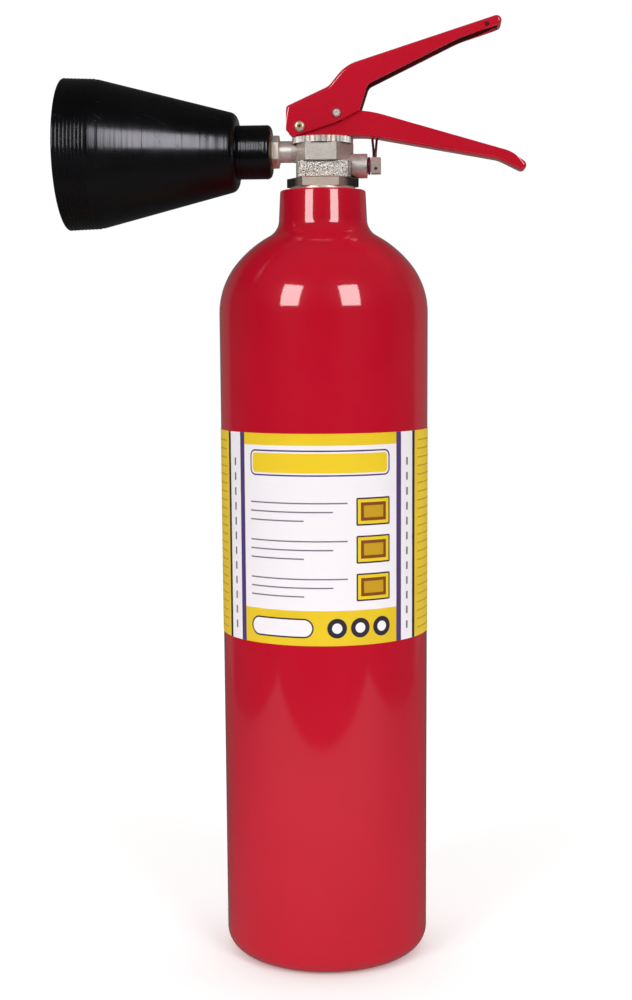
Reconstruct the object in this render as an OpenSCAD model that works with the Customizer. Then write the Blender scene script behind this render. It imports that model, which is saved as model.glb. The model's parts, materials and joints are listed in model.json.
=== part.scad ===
// Portable carbon dioxide fire extinguisher of the 2 kg size, in millimetres.
// +Z is up and the origin is the middle of the foot. The horn points to -X, the grips
// reach to +X, and the middle of the label faces -Y.

/* [Cylinder] */
// Outside diameter of the steel cylinder
cylinder_d = 108; // [98:1:120]
// Wall of the cylinder
cylinder_wall = 3.5; // [2.5:0.1:5]
// Height of the upper end of the straight wall
straight_top = 339.8; // [310:0.2:400]
// Radius of the shoulder above the straight wall
shoulder_r = 40; // [34:0.5:44]
// Angle at which the flatter crown takes over from the shoulder
shoulder_turn = 40; // [30:1:50]
// Radius of the knuckle between wall and foot
knuckle_r = 11; // [8:0.5:14]
// Width of the flat foot ring
foot_w = 7; // [4:0.5:12]
// Depth of the hollow under the foot
foot_hollow = 7; // [4:0.5:12]
// Outside diameter of the neck
neck_d = 44; // [40:0.5:50]
// Length of the neck above the shoulder
neck_len = 20.2; // [16:0.1:26]
// Fillet between shoulder and neck
neck_fillet = 12; // [6:0.5:14]
// Rounding of the neck's upper edge
neck_edge = 1.2; // [0.6:0.1:2]

/* [Label] */
// Height of the label's lower edge
label_bottom = 174.5; // [120:0.5:200]
// Height of the label itself
label_h = 106.2; // [80:0.2:120]
// Thickness of the label
label_t = 0.15; // [0.1:0.01:0.2]
// Angle that the label wraps round
label_wrap = 300; // [220:5:340]

/* [Valve body] */
// Thickness of the seal ring on the neck
neck_seal_t = 1.6; // [1:0.1:3]
// Outside diameter of the seal ring on the neck
neck_seal_d = 33; // [30:0.5:37]
// Diameter of the shank in the neck
shank_d = 25; // [22:0.5:28]
// Length of the shank under the flange
shank_len = 22; // [20:0.5:28]
// Width across the flats of the flange
flange_af = 32; // [30:0.5:36]
// Height of the flange
flange_h = 4.4; // [3:0.1:7]
// Width of the cast block along X
block_w = 27.6; // [25:0.1:32]
// Depth of the cast block along Y
block_d = 24; // [20:0.5:28]
// Height of the cast block
block_h = 8.3; // [7:0.1:12]
// Shift of the cast block along X
block_shift = 0.9; // [-2:0.1:2]
// Corner radius of the cast block
block_corner = 2.5; // [1:0.1:5]
// Width across the flats of the head
head_af = 27.4; // [25:0.1:30]
// Height of the head
head_h = 9; // [8:0.1:12]
// Diameter of the toothed collar under the handle
collar_d = 31.4; // [29:0.1:34]
// Height of the toothed collar
collar_h = 3; // [2:0.1:5]
// Number of teeth round the collar
collar_teeth = 40; // [24:2:60]
// Depth of the collar's teeth
tooth_depth = 0.9; // [0.4:0.1:1.4]

/* [Valve works] */
// Diameter of the stem
stem_d = 4.4; // [4:0.1:5]
// Diameter of the chamber below the seat
chamber_d = 13; // [11.5:0.1:15]
// Height of the seat above the cast block
seat_rise = 0.5; // [0:0.1:1.5]
// Height of the bore between the seat and the gland
seat_land = 4; // [3.6:0.1:5]
// Width of the gas gap round the stem in the seat
seat_gas_gap = 1.2; // [0.8:0.1:1.8]
// Thickness of the seal ring round the stem
stem_seal_t = 1.35; // [1.1:0.05:1.6]
// Height of the gland nut's hexagon
gland_head_h = 4; // [2.5:0.1:5]
// Thickness of the seat seal
seat_seal_t = 2; // [1.5:0.1:3]
// Diameter of the plunger and the seat seal
plunger_d = 10.4; // [9:0.1:11]
// Height of the plunger
plunger_h = 8; // [6:0.1:9]
// Wire diameter of the return spring
spring_wire = 1.1; // [0.8:0.1:1.3]
// Number of turns of the return spring
spring_turns = 5; // [4:1:7]
// Height of the spring retainer
retainer_h = 10; // [9:0.1:11]
// Diameter of the dip tube
dip_tube_d = 8; // [6:0.1:9]
// Wall of the dip tube
dip_tube_wall = 1; // [0.6:0.1:1.5]
// Height of the dip tube's end above the cylinder floor
dip_tube_clear = 6; // [3:0.5:20]

/* [Relief port] */
// Height of the relief port above the flange
relief_rise = 6.1; // [5.8:0.1:7]
// Diameter of the relief port
relief_d = 12.3; // [11:0.1:14]
// Reach of the relief port from the valve axis
relief_reach = 22.9; // [21:0.1:26]
// Thread diameter of the relief nut
relief_thread_d = 8; // [6.5:0.1:9]
// Depth of the relief port's socket
relief_socket = 8; // [6:0.1:9]
// Thickness of the burst disc
disc_t = 0.3; // [0.2:0.05:0.5]
// Thickness of the washer on the burst disc
disc_washer_t = 1.2; // [0.8:0.1:2]
// Length of the relief nut's neck outside the port
relief_neck_len = 1.9; // [1.8:0.1:3]
// Diameter of the relief nut's neck
relief_neck_d = 6; // [5:0.1:6.2]
// Width across the flats of the relief nut
relief_af = 8; // [7:0.1:10]
// Length of the relief nut's hexagon
relief_hex_len = 5; // [4:0.1:8]
// Turn of the relief nut on its thread
relief_turn = 25; // [0:1:59]
// Diameter of the relief nut's cross hole
relief_hole_d = 1.8; // [1:0.1:2.4]

/* [Grips] */
// Sheet thickness of lever and handle
sheet = 1.5; // [1:0.1:1.8]
// Side gap between moving and fixed sheets
grip_gap = 0.3; // [0.2:0.05:0.5]
// Place of the lever's pivot along X
pivot_x = -11.1; // [-13:0.1:-10]
// Height of the pivot above the handle's underside
pivot_rise = 5.1; // [4.8:0.1:6]
// Diameter of the pivot rivet
rivet_d = 4; // [3:0.1:4.4]
// Head diameter of the pivot rivet
rivet_head_d = 5.4; // [5:0.1:7]
// Head height of the pivot rivet
rivet_head_h = 1.1; // [0.6:0.1:1.6]
// Squeeze of the lever in degrees
lever_swing = 6; // [5:0.5:9]
// Length of the lever's plate behind the pivot
lever_back = 6.9; // [6:0.1:9]
// Height of the lever's back edge above the pivot
lever_back_h = 10.2; // [9.5:0.1:12]
// Place of the lever's step ahead of the pivot
lever_step_x = 14.8; // [13:0.1:17]
// Height of the lever's step above the pivot
lever_step_h = 19.8; // [19:0.1:22]
// Slope of the lever above its step
knee_slope = 50; // [40:1:60]
// Length of that slope up to the knee
knee_len = 13.2; // [12:0.1:16]
// Radius of the lever's knee
knee_r = 20; // [10:0.5:22]
// Slope of the lever's bar
bar_slope = 16.9; // [12:0.1:22]
// Length of the lever's bar from knee to tip
bar_len = 80.8; // [70:0.1:92]
// Depth of the bar at its tip
bar_tip_depth = 5.1; // [4.4:0.1:7]
// Depth of the bar at its root
bar_root_depth = 12.5; // [11:0.1:14]
// Length of the bar's end of even depth
bar_even_len = 22.5; // [15:0.5:35]
// Distance of the bar's root from the knee
bar_root_u = 8; // [6:0.1:10]
// Place of the lever's heel ahead of the pivot
heel_x = 30.5; // [28:0.1:32]
// Height of the lever's heel above the pivot
heel_h = 7.8; // [6.5:0.1:9]
// Place of the bend in the lever's lower edge ahead of the pivot
belly_x = 19.5; // [17:0.1:22]
// Height of that bend above the pivot
belly_h = 2.1; // [1.4:0.1:3]
// Width and height of the cut corner behind the pivot
toe_cut = 3.2; // [2:0.1:4]
// Depth of the lever's plate below the pivot
toe_drop = 5; // [4.4:0.1:5]
// Diameter of the hole in the lever's near flange at its tip
tip_hole_d = 2.2; // [1.2:0.1:2.4]
// End of the handle's level part along X
handle_level_x = 24; // [22:0.5:30]
// Fall of the handle's bar in degrees
handle_fall = 10.5; // [6:0.5:14]
// Length of the handle's bar
handle_bar_len = 81; // [70:0.5:92]
// Length of the bar up to its curled tip
handle_curl_u = 66.6; // [56:0.2:68]
// Drop of the curled tip
handle_curl_drop = 0.9; // [0:0.1:2]
// Radius of the handle's tip
handle_tip_r = 2.4; // [2:0.1:3]
// Depth of the handle at its root
handle_root_depth = 12.2; // [11.6:0.1:14]
// Depth of the handle at its curl
handle_tip_depth = 4.85; // [4.5:0.05:7]
// Height of the handle's ears round the safety pin
handle_ear_h = 16.2; // [15.8:0.1:17]

/* [Safety pin] */
// Diameter of the safety pin
pin_d = 4; // [3.2:0.1:4.4]
// Place of the safety pin along X
pin_x = 7.7; // [7.2:0.1:9]
// Height of the safety pin above the handle's underside
pin_rise = 11.5; // [11:0.1:12]
// Length of the pin's tip that stands out of the lever
pin_tip = 1.2; // [0.8:0.1:2]
// Distance of the pin's eye from the lever
eye_reach = 6; // [5.6:0.1:9]
// Diameter of the countersink round the pin's tip
pin_sink_d = 6.4; // [5.6:0.1:7]
// Diameter of the pin's eye
eye_d = 7; // [6.2:0.1:9]
// Height of the pin's eye
eye_h = 3.6; // [3:0.1:4]
// Wire diameter of the pull ring
ring_wire = 1.8; // [1.4:0.1:2.2]
// Middle diameter of the pull ring
ring_d = 20; // [18:0.5:24]

/* [Horn] */
// Height of the outlet above the cast block
outlet_rise = 5.4; // [5.2:0.1:6]
// Diameter of the outlet boss and the pipe
outlet_d = 10.9; // [10:0.1:12]
// Reach of the outlet boss from the valve axis
outlet_reach = 15.6; // [15:0.1:18]
// Depth of the outlet's socket
outlet_socket = 7.4; // [6:0.1:8]
// Diameter of the pipe's spigot in the outlet
spigot_d = 8; // [7:0.1:8.4]
// Bore of the pipe
pipe_bore_d = 5; // [3:0.1:6]
// Length of the bare pipe
pipe_len = 6.5; // [4:0.1:12]
// Diameter of the pipe in the horn
pipe_tail_d = 10; // [9:0.1:10.8]
// Width across the flats of the locknut
locknut_af = 14.6; // [13:0.1:18]
// Thickness of the locknut
locknut_t = 3.7; // [3:0.1:6]
// Diameter of the horn's collar
horn_collar_d = 27.1; // [24:0.1:32]
// Length of the horn's collar
horn_collar_len = 17.4; // [14:0.1:24]
// Rounding of the collar's rear edge
horn_collar_edge = 2.5; // [1:0.1:3]
// Diameter at the back of the cone
horn_back_d = 38.6; // [36:0.2:44]
// Rounding at the back of the cone
horn_back_edge = 4.5; // [2:0.1:5]
// Length of the horn over all
horn_len = 106.6; // [90:0.2:124]
// Length of the ringed rim
rim_len = 18.2; // [14:0.2:24]
// Diameter of the rim where the cone meets it
rim_root_d = 74.8; // [66:0.2:80]
// Diameter of the horn's mouth, without its rings
mouth_d = 76.2; // [68:0.2:84]
// Wall of the horn
horn_wall = 2.6; // [1.8:0.1:3.4]
// Thickness of the wall at the back of the cone
horn_back_wall = 3; // [2:0.1:5]
// Number of rings round the rim
rim_rings = 9; // [4:1:10]
// Spacing of those rings
rim_pitch = 1.9; // [1.4:0.1:2.2]
// Radius of a ring's bead
rim_bead_r = 0.6; // [0.4:0.05:0.7]
// Diameter of the horn's bush
bush_d = 18; // [15:0.1:20]
// Diameter of the bush's flange
bush_flange_d = 24; // [21:0.1:30]
// Thickness of the bush's flange
bush_flange_t = 2; // [1.5:0.1:3]
// Diameter of the jet nozzle
jet_d = 14; // [12.5:0.1:18]
// Length of the jet nozzle
jet_len = 9.4; // [8:0.1:14]
// Depth of the jet nozzle's thread
jet_socket = 4.4; // [3:0.1:5]
// Bore of the jet
jet_bore_d = 2.4; // [1.6:0.1:3.2]

/* [Clearances] */
// Gap round threads and pieces that are fixed together
fixed_gap = 0.04; // [0.02:0.01:0.08]
// Gap round pins and rods that run in a bore
running_gap = 0.06; // [0.04:0.01:0.1]
// Gap between flat faces that move past each other
face_gap = 0.2; // [0.1:0.05:0.3]
// Gap between the stem and the lever that presses it
press_gap = 0.2; // [0.1:0.05:0.4]

/* [Hidden] */
$fn = 96;
// Overlap that keeps cuts open
cut = 1;
// Length that reaches past any piece
far = 100;

red = "#b5162b";
black = "#141416";
plated = "#cfc8bd";
brass = "#b89a55";
steel = "#9a9da1";
rubber = "#22201f";

// Radii of the cylinder
cyl_r = cylinder_d / 2;
neck_r = neck_d / 2;
foot_r = cyl_r - knuckle_r;
hollow_r = foot_r - foot_w;
hollow_ball_r = (hollow_r * hollow_r + foot_hollow * foot_hollow) / (2 * foot_hollow);

// Middle of the shoulder's arc, and of the crown, which lies on the axis
shoulder_c = [cyl_r - shoulder_r, straight_top];
crown_c = [0, straight_top - shoulder_c[0] * tan(shoulder_turn)];
crown_r = shoulder_r + shoulder_c[0] / cos(shoulder_turn);

// Middle of the fillet circle between crown and neck, and where it touches the crown
fillet_c = [
    neck_r + neck_fillet,
    crown_c[1] + sqrt(pow(crown_r + neck_fillet, 2) - pow(neck_r + neck_fillet, 2))
];
fillet_touch = crown_c + crown_r * unit(fillet_c - crown_c);

// Levels up the valve
z_neck = crown_c[1] + sqrt(crown_r * crown_r - neck_r * neck_r) + neck_len;
z_flange = z_neck + neck_seal_t;
z_shank = z_flange - shank_len;
z_block = z_flange + flange_h;
z_head = z_block + block_h;
z_collar = z_head + head_h;
z_web = z_collar + collar_h;
z_seat = z_head + seat_rise;
z_gland = z_seat + seat_land;
z_outlet = z_head + outlet_rise;
z_relief = z_block + relief_rise;
z_retainer = z_shank + retainer_h;

// Valve works, from the stem outwards
seat_bore_d = stem_d + 2 * seat_gas_gap;
gland_d = stem_d + 2 * (stem_seal_t + 2 * running_gap);
gland_wall = 0.5;
gland_af = gland_d + 2 * gland_wall;
z_plunger = z_seat - running_gap - seat_seal_t;
stem_socket = 4;
spring_d = plunger_d - 1.4 * spring_wire;
spigot_h = 3;
dip_socket = 7;
gas_way_d = 3;

// Widths of the grips, from the gland nut outwards
handle_inner_w = gland_af / cos(30) + 2 * grip_gap;
handle_w = handle_inner_w + 2 * sheet;
lever_inner_w = handle_w + 2 * grip_gap;
lever_w = lever_inner_w + 2 * sheet;

// Places of pivot and safety pin, seen from the side as [x, z]
pivot = [pivot_x, z_web + pivot_rise];
pin = [pin_x, z_web + pin_rise];
pin_arm = norm(pin - pivot);
pin_angle = angle(pin - pivot);
eye_y = lever_w / 2 + eye_reach;

// Lever seen from the side
function dir(a) = [cos(a), sin(a)];
function angle(v) = atan2(v[1], v[0]);
function arc(c, r, a0, a1, n = 8) = [for (i = [0:n]) c + r * dir(a0 + (a1 - a0) * i / n)];
lever_a = pivot + [-lever_back, lever_back_h];
lever_s = pivot + [lever_step_x, lever_step_h];
plate_slope = angle(lever_s - lever_a);
lever_k = lever_s + knee_len * dir(knee_slope);
knee_c = lever_k - knee_r * tan((knee_slope - bar_slope) / 2) * dir(knee_slope)
    + knee_r * dir(knee_slope - 90);
bar_nose_r = bar_tip_depth / 2;
function bar(u, v) = lever_k + u * dir(bar_slope) + v * dir(bar_slope + 90);
function knee(r) = arc(knee_c, r, knee_slope + 90, bar_slope + 90);
step_miter = sheet / cos((knee_slope - plate_slope) / 2);

// The stem ends in a dome just under the lever's web
web_arm = lever_back * sin(plate_slope) + lever_back_h * cos(plate_slope) - sheet;
z_dome = pivot[1]
    + (web_arm - stem_d / 2 - press_gap - pivot[0] * sin(plate_slope)) / cos(plate_slope);

// Handle seen from the side
function handle(u, v) = [handle_level_x, z_web] + u * dir(-handle_fall) + v * dir(90 - handle_fall);
function tangent(p, c, r, side) =
    c + r * dir(angle(c - p) + side * (asin(r / norm(c - p)) + 90));
handle_tip = handle(handle_bar_len - handle_tip_r, -handle_curl_drop);
handle_curl = handle(handle_curl_u, 0);
curl_under = tangent(handle_curl, handle_tip, handle_tip_r, -1);
curl_angle = angle(curl_under - handle_curl);
curl_top_u = handle_curl_u + 5;
handle_top = handle(curl_top_u, handle_tip_depth);
curl_over = tangent(handle_top, handle_tip, handle_tip_r, 1);
fall_miter = sheet / cos(handle_fall / 2);
curl_inner_len = norm(curl_under - handle_curl) - handle_tip_r;

// Horn, as distances from the rear face of its collar
horn_x = -(outlet_reach + pipe_len + locknut_t + face_gap);
rim_l = horn_len - rim_len;
cone_angle = atan2((rim_root_d - horn_back_d) / 2, rim_l - horn_collar_len);
throat_l = horn_collar_len + horn_back_wall;
flange_l = throat_l + bush_flange_t;
jet_l = flange_l + face_gap;
pipe_end_l = jet_l + jet_socket;

// Route of the seal tie: through two holes in the far flange, straight down behind the relief
// nut's hexagon, and round the nut's neck
tie_d = 1.4;
tie_sides = 8;
tie_steps = 3;
tie_x = [relief_reach + 1.9, relief_reach + 4.9];
tie_rise = 5;
tie_neck_x = relief_reach + relief_neck_len / 2;
tie_loop_r = relief_neck_d / 2 + tie_d / 2 + 0.4;
tie_y = handle_w / 2 + tie_d / 2 + 0.4;
tie_in_y = handle_inner_w / 2 - tie_d / 2 - 0.7;
tie_z = z_web + tie_rise;
tie_bend = 0.9;
tie_corner = tie_bend * (1 - cos(45));
tie_route = [
    [tie_x[0] + tie_bend, tie_in_y, tie_z],
    [tie_x[0] + tie_corner, tie_in_y + tie_corner, tie_z],
    [tie_x[0], tie_in_y + tie_bend, tie_z],
    [tie_x[0], tie_y - tie_bend, tie_z],
    [tie_x[0], tie_y - tie_corner, tie_z - tie_corner],
    [tie_x[0], tie_y, tie_z - tie_bend],
    [tie_x[0] + 0.1, tie_y, tie_z - 2.4],
    [tie_x[0] + 0.4, tie_y, z_web],
    [tie_x[0] + 1, tie_y - 0.2, z_relief + 8],
    [tie_x[0] + 1, tie_y - 0.4, z_relief + 4],
    [tie_x[0] + 0.2, tie_y - 1, z_relief + 0.5],
    [tie_neck_x, tie_loop_r + 0.5, z_relief - 1.6],
    [tie_neck_x, tie_loop_r * cos(60), z_relief - tie_loop_r * sin(60)],
    [tie_neck_x, -tie_loop_r * cos(60), z_relief - tie_loop_r * sin(60)],
    [tie_neck_x, -tie_loop_r, z_relief],
    [tie_neck_x, -tie_loop_r * cos(60), z_relief + tie_loop_r * sin(60)],
    [tie_neck_x, tie_loop_r * cos(60), z_relief + tie_loop_r * sin(60)],
    [tie_neck_x + 0.1, tie_loop_r + 0.2, z_relief + 1.6],
    [tie_x[1] - 1.8, tie_y - 2.2, z_relief + 1.8],
    [tie_x[1] - 1, tie_y - 2.2, z_relief + 4],
    [tie_x[1] - 0.8, tie_y - 1.6, z_relief + 8],
    [tie_x[1] - 0.3, tie_y, z_web],
    [tie_x[1] - 0.1, tie_y, tie_z - 2.4],
    [tie_x[1], tie_y, tie_z - tie_bend],
    [tie_x[1], tie_y - tie_corner, tie_z - tie_corner],
    [tie_x[1], tie_y - tie_bend, tie_z],
    [tie_x[1], tie_in_y + tie_bend, tie_z],
    [tie_x[1] - tie_corner, tie_in_y + tie_corner, tie_z],
    [tie_x[1] - tie_bend, tie_in_y, tie_z]
];

// Smooth closed curve through the points of a route
function spline(a, b, c, d, t) =
    0.5 * (2 * b + (c - a) * t + (2 * a - 5 * b + 4 * c - d) * t * t
    + (3 * b - a - 3 * c + d) * t * t * t);
function closed_curve(p, steps) = [
    for (i = [0:len(p) - 1], s = [0:steps - 1])
    let (n = len(p))
    spline(p[(i + n - 1) % n], p[i], p[(i + 1) % n], p[(i + 2) % n], s / steps)
];
function unit(v) = v / norm(v);
function circle_round(c, along, r, sides, aside) =
    let (a = unit(cross(along, aside)), b = unit(cross(along, a)))
    [for (k = [0:sides - 1]) c + r * (cos(360 * k / sides) * a + sin(360 * k / sides) * b)];

// Faces of a tube whose rings follow each other in one flat list
function ring_faces(i, j, sides) = [
    for (k = [0:sides - 1])
    let (m = (k + 1) % sides)
    each [
        [i * sides + k, j * sides + k, j * sides + m],
        [i * sides + k, j * sides + m, i * sides + m]
    ]
];
function cap_faces(i, sides, flip) = [
    for (k = [1:sides - 2])
    flip ? [i * sides, i * sides + k + 1, i * sides + k] : [i * sides, i * sides + k, i * sides + k + 1]
];

module closed_tube(points, d, sides, aside) {
    n = len(points);
    rings = [
        for (i = [0:n - 1])
        each circle_round(points[i], points[(i + 1) % n] - points[(i + n - 1) % n], d / 2, sides, aside)
    ];
    polyhedron(rings, [for (i = [0:n - 1]) each ring_faces(i, (i + 1) % n, sides)]);
}

module coil(mean_d, wire, height, turns, sides = 6, steps = 16) {
    n = turns * steps;
    rise = (height - wire) / n;
    rings = [
        for (i = [0:n])
        let (a = 360 * i / steps, c = [mean_d / 2 * cos(a), mean_d / 2 * sin(a), wire / 2 + rise * i])
        each circle_round(c, [-sin(a), cos(a), 0], wire / 2, sides, [0, 0, 1])
    ];
    polyhedron(rings, concat(
        [for (i = [0:n - 1]) each ring_faces(i, i + 1, sides)],
        cap_faces(0, sides, false),
        cap_faces(n, sides, true)
    ));
}

// Shapes and places that repeat
module hexagon(af, h) cylinder(d = af / cos(30), h = h, $fn = 6);

module tube(d, bore, h) difference() {
    cylinder(d = d, h = h);
    translate([0, 0, -cut]) cylinder(d = bore, h = h + 2 * cut);
}

module rounded_rect(w, d, r) {
    square([w - 2 * r, d], center = true);
    square([w, d - 2 * r], center = true);
    for (x = [-1, 1], y = [-1, 1])
        translate([x * (w / 2 - r), y * (d / 2 - r)]) circle(r);
}

module at_left(x, z) translate([x, 0, z]) rotate([0, -90, 0]) children();

module at_right(x, z) translate([x, 0, z]) rotate([0, 90, 0]) children();

module from_side(w) rotate([90, 0, 0]) linear_extrude(w, center = true) children();

module across(p, d, w) translate([p[0], 0, p[1]]) rotate([90, 0, 0]) cylinder(d = d, h = w, center = true);

module through_flange(p, y, d) translate([0, y, 0]) across(p, d, 4 * sheet);

// Cylinder, label and neck seal
module crown(r) intersection() {
    translate(crown_c) circle(r);
    polygon([crown_c, crown_c + 2 * crown_r * dir(shoulder_turn), crown_c + [0, 2 * crown_r]]);
}

module bottle(wall, neck, top) intersection() {
    union() {
        translate([0, knuckle_r]) square([cyl_r - wall, straight_top - knuckle_r]);
        translate([0, wall]) square([foot_r, knuckle_r - wall]);
        translate([foot_r, knuckle_r]) circle(knuckle_r - wall);
        translate(shoulder_c) circle(shoulder_r - wall);
        crown(crown_r - wall);
        translate([0, straight_top]) square([neck, top - straight_top]);
    }
    square([cylinder_d, z_neck + cut]);
}

module cylinder_outside() difference() {
    union() {
        bottle(0, neck_r, z_neck - neck_edge);
        polygon([crown_c, fillet_touch, fillet_c, [0, fillet_c[1]]]);
        translate([0, straight_top]) square([neck_r - neck_edge, z_neck - straight_top]);
        translate([neck_r - neck_edge, z_neck - neck_edge]) circle(neck_edge);
    }
    translate(fillet_c) circle(neck_fillet);
}

module cylinder_shell() color(red) rotate_extrude() difference() {
    cylinder_outside();
    translate([0, foot_hollow - hollow_ball_r]) circle(hollow_ball_r);
    difference() {
        bottle(cylinder_wall, shank_d / 2 + fixed_gap, z_neck + cut);
        translate([0, foot_hollow - hollow_ball_r]) circle(hollow_ball_r + cylinder_wall);
    }
}

module label() color("#e8c23a") rotate([0, 0, -90 - label_wrap / 2]) rotate_extrude(angle = label_wrap)
    translate([cyl_r + fixed_gap, label_bottom]) square([label_t, label_h]);

module neck_seal() color(brass) translate([0, 0, z_neck])
    tube(neck_seal_d, shank_d + 2 * fixed_gap, neck_seal_t);

// Valve body and what is fixed in it
module toothed_collar() polygon([
    for (i = [0:2 * collar_teeth - 1])
    (collar_d / 2 - (i % 2) * tooth_depth) * dir(180 * i / collar_teeth)
]);

module outlet_drilling() {
    from = [-outlet_reach + outlet_socket - cut, z_outlet - spigot_d / 4];
    to = [0, z_seat + gas_way_d / 2];
    reach = to - from;
    translate([from[0], 0, from[1]]) rotate([0, 90 - angle(reach), 0])
        cylinder(d = gas_way_d, h = norm(reach));
}

module valve_body() color(plated) difference() {
    union() {
        translate([0, 0, z_shank]) cylinder(d = shank_d, h = shank_len);
        translate([0, 0, z_flange]) hexagon(flange_af, flange_h);
        translate([block_shift, 0, z_block]) linear_extrude(block_h)
            rounded_rect(block_w, block_d, block_corner);
        translate([0, 0, z_head]) hexagon(head_af, head_h);
        translate([0, 0, z_collar]) linear_extrude(collar_h) toothed_collar();
        at_left(0, z_outlet) cylinder(d = outlet_d, h = outlet_reach);
        at_right(0, z_relief) cylinder(d = relief_d, h = relief_reach);
    }
    translate([0, 0, z_shank - cut]) cylinder(d = chamber_d, h = z_seat - z_shank + cut);
    translate([0, 0, z_seat - cut]) cylinder(d = seat_bore_d, h = seat_land + 2 * cut);
    translate([0, 0, z_gland]) cylinder(d = gland_d + 2 * fixed_gap, h = z_web - z_gland + cut);
    at_left(-outlet_reach + outlet_socket, z_outlet)
        cylinder(d = spigot_d + 2 * fixed_gap, h = outlet_socket + cut);
    outlet_drilling();
    at_right(0, z_relief) cylinder(d = gas_way_d, h = relief_reach);
    at_right(relief_reach - relief_socket, z_relief)
        cylinder(d = relief_thread_d + 2 * fixed_gap, h = relief_socket + cut);
}

module gland_nut() color(brass) difference() {
    z_low = z_gland + stem_seal_t + 2 * running_gap;
    union() {
        translate([0, 0, z_low]) cylinder(d = gland_d, h = z_web + sheet - z_low);
        translate([0, 0, z_web + sheet]) hexagon(gland_af, gland_head_h);
    }
    translate([0, 0, z_low - cut])
        cylinder(d = stem_d + 2 * running_gap, h = z_web + sheet + gland_head_h - z_low + 2 * cut);
}

module stem_seal() color(rubber) translate([0, 0, z_gland + stem_seal_t / 2 + running_gap])
    rotate_extrude() translate([(gland_d + stem_d) / 4, 0]) circle(d = stem_seal_t);

module spring_retainer() color(brass) translate([0, 0, z_shank]) difference() {
    cylinder(d = chamber_d - 2 * fixed_gap, h = retainer_h);
    translate([0, 0, -cut]) cylinder(d = dip_tube_d - 2 * dip_tube_wall, h = retainer_h + 2 * cut);
    translate([0, 0, -cut]) cylinder(d = dip_tube_d + 2 * fixed_gap, h = dip_socket + cut);
}

module dip_tube() {
    z_low = foot_hollow + cylinder_wall + dip_tube_clear;
    color("#d9d6cc") difference() {
        translate([0, 0, z_low])
            tube(dip_tube_d, dip_tube_d - 2 * dip_tube_wall, z_shank + dip_socket - z_low);
        translate([-dip_tube_d / 2, 0, z_low]) rotate([0, -45, 0]) translate([0, 0, -far / 2])
            cube([far, far, far], center = true);
    }
}

module burst_disc() color(steel) at_right(relief_reach - relief_socket, z_relief)
    cylinder(d = relief_thread_d, h = disc_t);

module disc_washer() color(brass) at_right(relief_reach - relief_socket + disc_t, z_relief)
    tube(relief_thread_d, gas_way_d, disc_washer_t);

module relief_nut() {
    shank_l = relief_socket - disc_t - disc_washer_t;
    hex_l = shank_l + relief_neck_len;
    hole_l = hex_l + relief_hex_len / 2;
    color(plated) at_right(relief_reach - shank_l, z_relief) rotate([0, 0, relief_turn]) difference() {
        union() {
            cylinder(d = relief_thread_d, h = shank_l);
            cylinder(d = relief_neck_d, h = hex_l);
            translate([0, 0, hex_l]) hexagon(relief_af, relief_hex_len);
        }
        translate([0, 0, -cut]) cylinder(d = gas_way_d, h = hole_l + cut);
        for (a = [90, 150])
            translate([0, 0, hole_l]) rotate([0, 90, a])
                cylinder(d = relief_hole_d, h = relief_af * 2, center = true);
    }
}

module seal_tie() color("#6b1230")
    closed_tube(closed_curve(tie_route, tie_steps), tie_d, tie_sides, [1, 0.7, 0.7]);

// Grips and the pivot
module lever_outline() {
    polygon(concat(
        [lever_a, lever_s],
        knee(knee_r),
        arc(bar(bar_len - bar_nose_r, -bar_nose_r), bar_nose_r, bar_slope + 90, bar_slope - 90, 12),
        [
            bar(bar_len - bar_even_len, -bar_tip_depth),
            bar(bar_root_u, -bar_root_depth),
            pivot + [heel_x, heel_h],
            pivot + [belly_x, belly_h],
            pivot + [toe_cut - lever_back, -toe_drop],
            pivot + [-lever_back, toe_cut - toe_drop]
        ]
    ));
}

module lever_inside() polygon(concat(
    [
        lever_a - far * dir(plate_slope) - sheet * dir(plate_slope + 90),
        lever_s - step_miter * dir((plate_slope + knee_slope) / 2 + 90)
    ],
    knee(knee_r - sheet),
    [
        bar(bar_len - bar_nose_r, -sheet),
        bar(bar_len - bar_nose_r, -far),
        lever_a - far * dir(plate_slope) - far * dir(90)
    ]
));

module upper_lever() color(red) difference() {
    from_side(lever_w) lever_outline();
    from_side(lever_inner_w) lever_inside();
    across(pivot, rivet_d + 2 * running_gap, lever_w + cut);
    across(pin, pin_d + 2 * running_gap, lever_w + cut);
    translate([pin[0], -lever_w / 2, pin[1]]) rotate([-90, 0, 0])
        cylinder(d1 = pin_sink_d, d2 = pin_sink_d - sheet, h = sheet / 2);
    through_flange(bar(bar_len - 3 * bar_nose_r, -sheet - bar_nose_r / 2), -lever_w / 2, tip_hole_d);
}

module handle_outline() polygon(concat(
    [[handle_level_x, z_web], handle_curl],
    arc(handle_tip, handle_tip_r, angle(curl_under - handle_tip), angle(curl_over - handle_tip), 12),
    [
        handle_top,
        handle(0, handle_root_depth),
        [pin_x + 11, z_web + handle_root_depth + 0.6],
        [pin_x + 5, z_web + handle_ear_h],
        [pin_x - 5, z_web + handle_ear_h]
    ],
    arc(pivot, pivot_rise, 110, 270, 16)
));

module handle_inside() polygon([
    [-far, z_web + sheet],
    [handle_level_x, z_web] + fall_miter * dir(90 - handle_fall / 2),
    handle_curl + sheet * dir(90 - handle_fall),
    handle_curl + curl_inner_len * dir(curl_angle) + sheet * dir(curl_angle + 90),
    handle_curl + curl_inner_len * dir(curl_angle) + far * dir(90),
    [-far, z_web + far]
]);

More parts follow.
